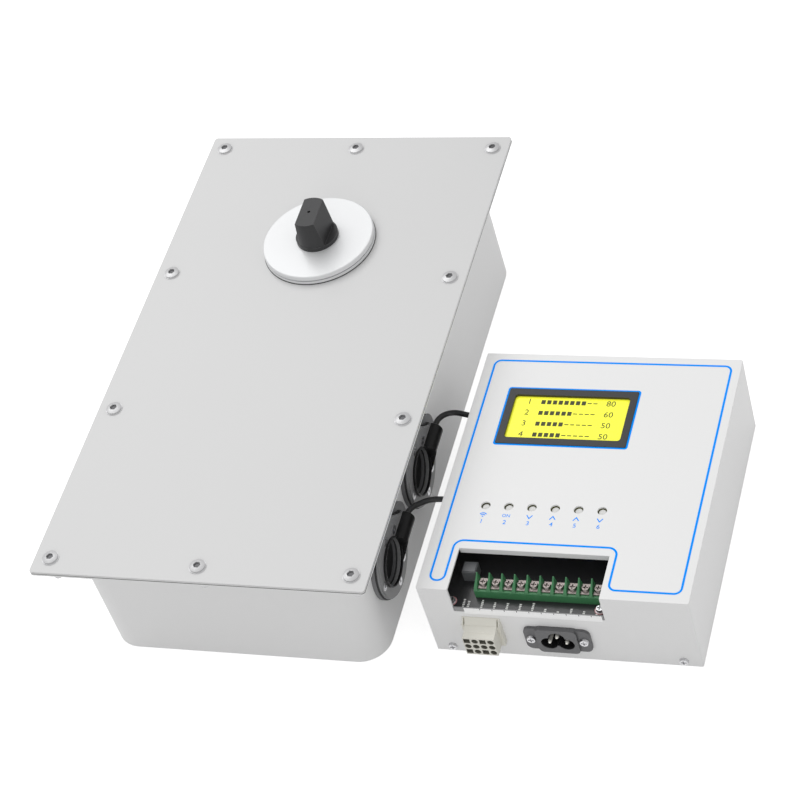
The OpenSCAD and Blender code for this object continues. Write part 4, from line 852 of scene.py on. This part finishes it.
class DOOR_OT_cabinet(Operator):
    """Finish the control unit's sheet metal, buttons and inner parts, and add its terminal strip"""

    bl_idname = "door.cabinet"
    bl_label = "Control unit"

    # The strip's depth, the height of its fins' feet above its own foot, and its top's rounding
    strip_depth = 9.6 * MM
    strip_step = 6 * MM
    strip_round = 0.35 * MM
    # Height above its foot, half width, front and back of a fin at each level
    fin_levels = [
        (-0.5, 1.25, 0.05, 9.58), (0.2, 1.2, 0.15, 9.55), (0.9, 1.05, 0.45, 9.5), (1.8, 0.92, 1.2, 9.45),
        (2.6, 0.8, 2.2, 9.4), (3.6, 0.66, 4.6, 9.34), (4.6, 0.54, 6.6, 9.28), (5.6, 0.45, 7.9, 9.2),
        (6.3, 0.4, 8.5, 9.0),
    ]
    # Middle of the contact socket's cells from the unit's side
    cells_middle = 34 * MM

    def execute(self, context):
        tones = context.scene.door_colours
        dress(["control_cover"], "unit powder coat", tones.unit, 0.42, grain=900, depth=0.05, uneven=0.02)
        dress(["control_base"], "base powder coat", linear(205, 205, 205), 0.5, grain=900, depth=0.08)
        dress(["display_bezel"], "display frame plastic", tones.bezel, 0.4, grain=1400, depth=0.1)
        dress(["display_panel"], "display face", tones.screen, 0.3, grain=900, depth=0.01, uneven=0.01,
              glow=0.25)
        dress(["button_%d" % number for number in range(1, 7)], "button plastic", linear(226, 226, 224), 0.4,
              grain=1400, depth=0.05)
        self.board_parts(tones)
        self.sockets(tones)
        return {"FINISHED"}

    def board_parts(self, tones):
        """The main board and what stands on it."""
        dress(["main_board"], "board lacquer", tones.board, 0.35, grain=300, depth=0.05, uneven=0.2,
              coat=0.2)
        dress(["board_posts"], "plated brass", linear(206, 184, 120), 0.3, metal=1.0, grain=2000,
              depth=0.08)
        dress(["button_switches"], "switch plastic", linear(38, 38, 40), 0.45, grain=1400, depth=0.1)
        dress(["relay"], "relay plastic", linear(104, 106, 108), 0.4, grain=1300, depth=0.1)
        dress(["transformer"], "coil tape", linear(176, 140, 66), 0.4, grain=500, depth=0.12, uneven=0.2)
        dress(["capacitors"], "capacitor sleeve", linear(24, 28, 44), 0.3, grain=900, depth=0.04)
        green = dress(["terminal_block"], "strip plastic", tones.strip, 0.4, grain=1200, depth=0.08,
                      uneven=0.08)
        self.barrier_strip(green)

    def sockets(self, tones):
        """The mains inlet and the contact socket, with painted shade in their depths."""
        inlet = dress(["inlet_body"], "inlet plastic", linear(94, 94, 96), 0.42, grain=1300, depth=0.12)
        low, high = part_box("inlet_body")
        middle = (low.x + high.x) / 2
        half, foot, head = 11 * MM, 10.4 * MM, 27.6 * MM
        front = (middle - half, low.y + 0.4 * MM, foot)
        shade_inside(inlet, front, (middle + half, high.y, head), linear(26, 26, 28))
        dress(["contact_pins"], "contact metal", linear(240, 238, 230), 0.35, metal=0.4, grain=2600,
              depth=0.05)
        socket = dress(["header_body"], "socket plastic", tones.socket, 0.45, grain=1200, depth=0.08)
        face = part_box("header_body")[0].y
        middle = UNIT_LOW.x + self.cells_middle
        half, foot, head = 9.2 * MM, 14.6 * MM, 28.2 * MM
        front = (middle - half, face + 0.25 * MM, foot)
        shade_inside(socket, front, (middle + half, face + 9.2 * MM, head), linear(126, 124, 114))

    def barrier_strip(self, material):
        """The terminal strip with its thin fins, which lean back and end in a point."""
        bm = bmesh.new()
        top = STRIP_LOW.z + self.strip_step
        block(bm, STRIP_LOW, (STRIP_HIGH.x, STRIP_LOW.y + self.strip_depth, top))
        upper = [edge for edge in bm.edges if all(v.co.z > (STRIP_LOW.z + top) / 2 for v in edge.verts)]
        bmesh.ops.bevel(
            bm, geom=upper, offset=self.strip_round, segments=2, profile=0.5, affect="EDGES", material=-1,
        )
        for index in range(FINS):
            self.fin(bm, FIRST_FIN + index * PITCH, STRIP_LOW.y, top)
        strip = add_piece("barrier_strip", bm, material, smooth=25)
        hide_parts("terminal_block")

    def fin(self, bm, x, y, z):
        """One fin, grown from its foot upwards level by level."""
        face = bmesh.ops.create_grid(bm, x_segments=1, y_segments=1, size=0.5)["verts"][0].link_faces[0]
        for number, (rise, half, front, back) in enumerate(self.fin_levels):
            if number:
                face = bmesh.ops.extrude_discrete_faces(bm, faces=[face])["faces"][0]
            middle = face.calc_center_median()
            for vert in face.verts:
                side = half if vert.co.x > middle.x else -half
                reach = back if vert.co.y > middle.y else front
                vert.co = (x + side * MM, y + reach * MM, z + rise * MM)


class DOOR_OT_prints(Operator):
    """Print the outline, the plain symbols and the figures on the control unit"""

    bl_idname = "door.prints"
    bl_label = "Prints"

    # The outline's corners from the unit's middle, and the radius that rounds them
    outline = [(-74, -86), (-64, -86), (-64, -56), (32, -56), (32, -86), (75, -86), (75, 87), (-74, 87)]
    outline_round = 4.8 * MM
    # The line round the display frame: how far it stands out, its rounding and its width
    frame_out = 1.2 * MM
    frame_round = 1.8 * MM
    frame_line = 1.15 * MM
    # How far below its button a symbol and a figure stand
    symbol_drop = 7.1 * MM
    figure_drop = 12 * MM
    # The first symbol's waves, each with its radius and how low its middle is, and its dot's corners
    waves = [(2.6 * MM, 1.16 * MM), (1.6 * MM, 1.36 * MM)]
    wave_line = 0.55 * MM
    dot = (-0.4 * MM, -1.5 * MM, 0.4 * MM, -0.8 * MM)
    # Height of the word, and half the width and height of an arrow head
    word = 2.2 * MM
    arrow = (1.7 * MM, 1.2 * MM)
    arrow_line = 0.6 * MM

    def execute(self, context):
        sizes = context.scene.door_sizes
        film = sizes.print_film
        # The ink's faint glow is painted light that makes the blue brighter than the lamps alone would.
        ink = finish("blue ink", context.scene.door_colours.ink, 0.7, depth=0.03, edge=0, specular=0.0,
                     glow=0.12)
        bm = bmesh.new()
        corners = [(x * MM, y * MM) for x, y in self.outline]
        outline_ribbon(bm, corners, self.outline_round, sizes.print_line, film)
        low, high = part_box("display_bezel")
        left, bottom = low.x - UNIT_MID.x - self.frame_out, low.y - UNIT_MID.y - self.frame_out
        right, top = high.x - UNIT_MID.x + self.frame_out, high.y - UNIT_MID.y + self.frame_out
        corners = [(left, bottom), (right, bottom), (right, top), (left, top)]
        outline_ribbon(bm, corners, self.frame_round, self.frame_line, film)
        self.print_on("printed_outline", bm, ink)
        bm = bmesh.new()
        for number in range(1, 7):
            low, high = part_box("button_%d" % number)
            x = (low.x + high.x) / 2 - UNIT_MID.x
            y = (low.y + high.y) / 2 - UNIT_MID.y
            figures(bm, str(number), sizes.figure_height, x, y - self.figure_drop, film)
            self.symbol(bm, number, x, y - self.symbol_drop, film)
        self.print_on("printed_symbols", bm, ink)
        return {"FINISHED"}

    @staticmethod
    def print_on(name, bm, ink):
        """Lays what is drawn about the unit's middle on its top."""
        lift(bm, (UNIT_MID.x, UNIT_MID.y, UNIT_HIGH.z + PRINT_GAP))
        add_piece(name, bm, ink)

    def symbol(self, bm, number, x, y, film):
        """The plain symbol over a button's figure: two waves and a dot, ON, or an arrow head."""
        if number == 1:
            turns = [math.radians(degrees) for degrees in range(-50, 51, 10)]
            for radius, low in self.waves:
                arc = [(x + radius * math.sin(turn), y - low + radius * math.cos(turn)) for turn in turns]
                stroke(bm, arc, self.wave_line, film)
            left, foot, right, head = self.dot
            bar(bm, x + left, y + foot, x + right, y + head, film)
        elif number == 2:
            figures(bm, "ON", self.word, x, y, film)
        else:
            side, tip = self.arrow
            tip = tip if number in (4, 5) else -tip
            stroke(bm, [(x - side, y - tip), (x, y + tip), (x + side, y - tip)], self.arrow_line, film)


class DOOR_OT_screen(Operator):
    """Show four plain level bars with figures on the display"""

    bl_idname = "door.screen"
    bl_label = "Display"

    # Each row's figure and how many of its steps are full
    rows = [(80, 8), (60, 6), (50, 5), (50, 5)]
    # Steps in a row, their pitch and width, and half the height of a full and of an empty one
    steps = 10
    pitch = 3.6 * MM
    width = 2.6 * MM
    full = 1.6 * MM
    empty = 0.35 * MM
    # Height of the figures
    figure = 4.2 * MM
    # Shares of the screen's size: the first row's place, the drop to the next, and where a row's
    # number, steps and figure stand
    row_top, row_drop = 0.36, 0.24
    number_at, steps_at, figure_at = -0.36, -0.26, 0.33

    def execute(self, context):
        ink = finish("screen figures", linear(66, 68, 30), 0.5, depth=0.02, edge=0)
        film = context.scene.door_sizes.print_film
        size = SCREEN_HIGH - SCREEN_LOW
        bm = bmesh.new()
        for row, (value, level) in enumerate(self.rows):
            y = size.y * (self.row_top - self.row_drop * row)
            figures(bm, str(row + 1), self.figure, size.x * self.number_at, y, film)
            figures(bm, str(value), self.figure, size.x * self.figure_at, y, film)
            for step in range(self.steps):
                x = size.x * self.steps_at + step * self.pitch
                half = self.full if step < level else self.empty
                bar(bm, x, y - half, x + self.width, y + half, film)
        middle = (SCREEN_LOW + SCREEN_HIGH) / 2
        lift(bm, (middle.x, middle.y, SCREEN_HIGH.z + PRINT_GAP))
        add_piece("screen_figures", bm, ink)
        return {"FINISHED"}


class DOOR_OT_legends(Operator):
    """Add the label under the terminals with its painted shadow ticks, the white marks on the board and its
    washers
    """

    bl_idname = "door.legends"
    bl_label = "Terminal legends"

    # How many marks stand in line before each terminal, and the widths that they take in turn
    mark_rows = [5, 4, 4, 4, 5, 2, 1, 3, 2, 2]
    mark_widths = [1.3, 1.0, 1.4]
    # The first mark from the unit's front, the spacing, and half a mark's depth
    mark_start, mark_step, mark_half = 2.6 * MM, 1.2 * MM, 0.4 * MM
    # Two more columns of marks left of the first terminal: how far, and how many
    side_marks = [(11.0, 5), (8.1, 4)]
    # The label's carrier from the unit's middle, its thickness, and its head above the board
    carrier_left = 60.7 * MM
    carrier_right = 28.5 * MM
    carrier_thick = 0.8 * MM
    carrier_head = 1.9 * MM
    # The label from the unit's middle, how far it reaches below the board, and its margin at the head
    label_left, label_right = 54.6 * MM, 27.4 * MM
    label_drop = 1.5 * MM
    label_margin = 0.05 * MM
    # Half a tick's width, its foot below the carrier's head, and the ticks' spacing in pitches
    tick_half = 0.2 * MM
    tick_drop = 1.2 * MM
    tick_spacing = 0.965
    # The two front board screws from the unit's middle and from the board's front
    washer_places = [-63.6 * MM, 25.3 * MM]
    washer_depth = 5.4 * MM
    # A washer's radius and thickness, and its middle above the board
    washer_radius, washer_thick, washer_rise = 3.3 * MM, 0.3 * MM, 0.16 * MM

    def execute(self, context):
        film = context.scene.door_sizes.print_film
        self.board_marks(film)
        self.tick_label(film)
        self.board_washers()
        return {"FINISHED"}

    def board_marks(self, film):
        """Short white marks in columns before the terminals, as a board's legend."""
        white = finish("white print", linear(228, 228, 226), 0.5, depth=0.02, edge=0)
        first = FIRST_FIN + 0.5 * PITCH
        columns = [(first + index * PITCH, count) for index, count in enumerate(self.mark_rows)]
        columns += [(first - left * MM, count) for left, count in self.side_marks]
        bm = bmesh.new()
        for index, (x, count) in enumerate(columns):
            for step in range(count):
                half = self.mark_widths[(index + step) % 3] * MM / 2
                y = UNIT_LOW.y + self.mark_start + self.mark_step * step
                bar(bm, x - half, y - self.mark_half, x + half, y + self.mark_half, film)
        lift(bm, (0, 0, BOARD_HIGH.z + PRINT_GAP))
        add_piece("board_marks", bm, white)

    def tick_label(self, film):
        """A thin strip on the front wall's edge, with a bare label and a short dark tick at each terminal,
        which is a painted shadow.
        """
        head = BOARD_HIGH.z + self.carrier_head
        bm = bmesh.new()
        foot = (UNIT_MID.x - self.carrier_left, UNIT_LOW.y, BOARD_LOW.z)
        block(bm, foot, (UNIT_MID.x + self.carrier_right, UNIT_LOW.y + self.carrier_thick, head))
        bmesh.ops.bevel(
            bm, geom=bm.edges[:], offset=0.1 * MM, segments=1, profile=0.5, affect="EDGES", material=-1,
        )
        grey = finish("carrier plastic", linear(150, 150, 151), 0.5, depth=0.05)
        add_piece("label_carrier", bm, grey)
        top = head - self.label_margin
        left, right = UNIT_MID.x - self.label_left, UNIT_MID.x + self.label_right
        bm = bmesh.new()
        bar(bm, left, BOARD_LOW.z - self.label_drop, right, top, film)
        # The paper's faint glow is painted light that makes the upright label as pale as the unit's top.
        paper = finish("label paper", linear(250, 250, 250), 0.6, depth=0.02, edge=0, glow=0.1)
        self.put_on_front("tick_label", bm, paper)
        bm = bmesh.new()
        # Each short dark tick is a painted shadow at a terminal.
        for index in range(FINS - 1):
            x = FIRST_FIN + (0.5 + self.tick_spacing * index) * PITCH
            bar(bm, x - self.tick_half, head - self.tick_drop, x + self.tick_half, top, 2 * film)
        dark = finish("painted tick shadows", linear(70, 70, 72), 0.5, depth=0.02, edge=0)
        self.put_on_front("painted_tick_shadows", bm, dark)

    @staticmethod
    def put_on_front(name, bm, material):
        """Stands what is drawn flat upright on the unit's front."""
        turn = Matrix.Translation((0, UNIT_LOW.y - PRINT_GAP, 0)) @ Matrix.Rotation(math.pi / 2, 4, "X")
        bmesh.ops.transform(bm, matrix=turn, verts=bm.verts)
        add_piece(name, bm, material)

    def board_washers(self):
        """Thin reddish fibre washers under the two front screws of the board."""
        bm = bmesh.new()
        for x in self.washer_places:
            washer = bmesh.ops.create_cone(
                bm, cap_ends=True, segments=32, radius1=self.washer_radius, radius2=self.washer_radius,
                depth=self.washer_thick,
            )["verts"]
            place = (UNIT_MID.x + x, BOARD_LOW.y + self.washer_depth, BOARD_HIGH.z + self.washer_rise)
            bmesh.ops.translate(bm, verts=washer, vec=place)
        red = finish("red fibre", linear(206, 150, 152), 0.5, depth=0.05, edge=0)
        add_piece("fibre_washers", bm, red)


OPERATORS = [
    DOOR_OT_camera, DOOR_OT_leads, DOOR_OT_stage, DOOR_OT_housing, DOOR_OT_spindle, DOOR_OT_glands,
    DOOR_OT_drive, DOOR_OT_cabinet, DOOR_OT_prints, DOOR_OT_screen, DOOR_OT_legends,
]


class DOOR_PT_sidebar(Panel):
    """Sizes, colours and steps of the door operator"""

    bl_idname = "DOOR_PT_sidebar"
    bl_label = "Door operator"
    bl_space_type = "VIEW_3D"
    bl_region_type = "UI"
    bl_category = "Door operator"

    def draw(self, context):
        layout = self.layout
        for group in (context.scene.door_view, context.scene.door_colours, context.scene.door_sizes):
            box = layout.box()
            for key in group.__annotations__:
                box.prop(group, key)
        for operator in OPERATORS:
            layout.operator(operator.bl_idname)


CLASSES = [DoorOperatorView, DoorOperatorColours, DoorOperatorSizes, *OPERATORS, DOOR_PT_sidebar]


def register():
    for cls in CLASSES:
        bpy.utils.register_class(cls)
    bpy.types.Scene.door_view = PointerProperty(type=DoorOperatorView)
    bpy.types.Scene.door_colours = PointerProperty(type=DoorOperatorColours)
    bpy.types.Scene.door_sizes = PointerProperty(type=DoorOperatorSizes)


def unregister():
    del bpy.types.Scene.door_sizes
    del bpy.types.Scene.door_colours
    del bpy.types.Scene.door_view
    for cls in reversed(CLASSES):
        bpy.utils.unregister_class(cls)


def write_sizes():
    """Turns the solids' box and the finished part's box into plain numbers, which are not kept."""
    def plain(box):
        return [[float(v) for v in corner] for corner in box]
    {"solids": plain(SOLID_BOX), "finished": plain(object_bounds())}


def main():
    register()
    bpy.context.scene.view_settings.view_transform = "Standard"
    for operator in OPERATORS:
        getattr(bpy.ops.door, operator.bl_idname.split(".")[1])()
    write_sizes()


if __name__ == "__main__":
    main()
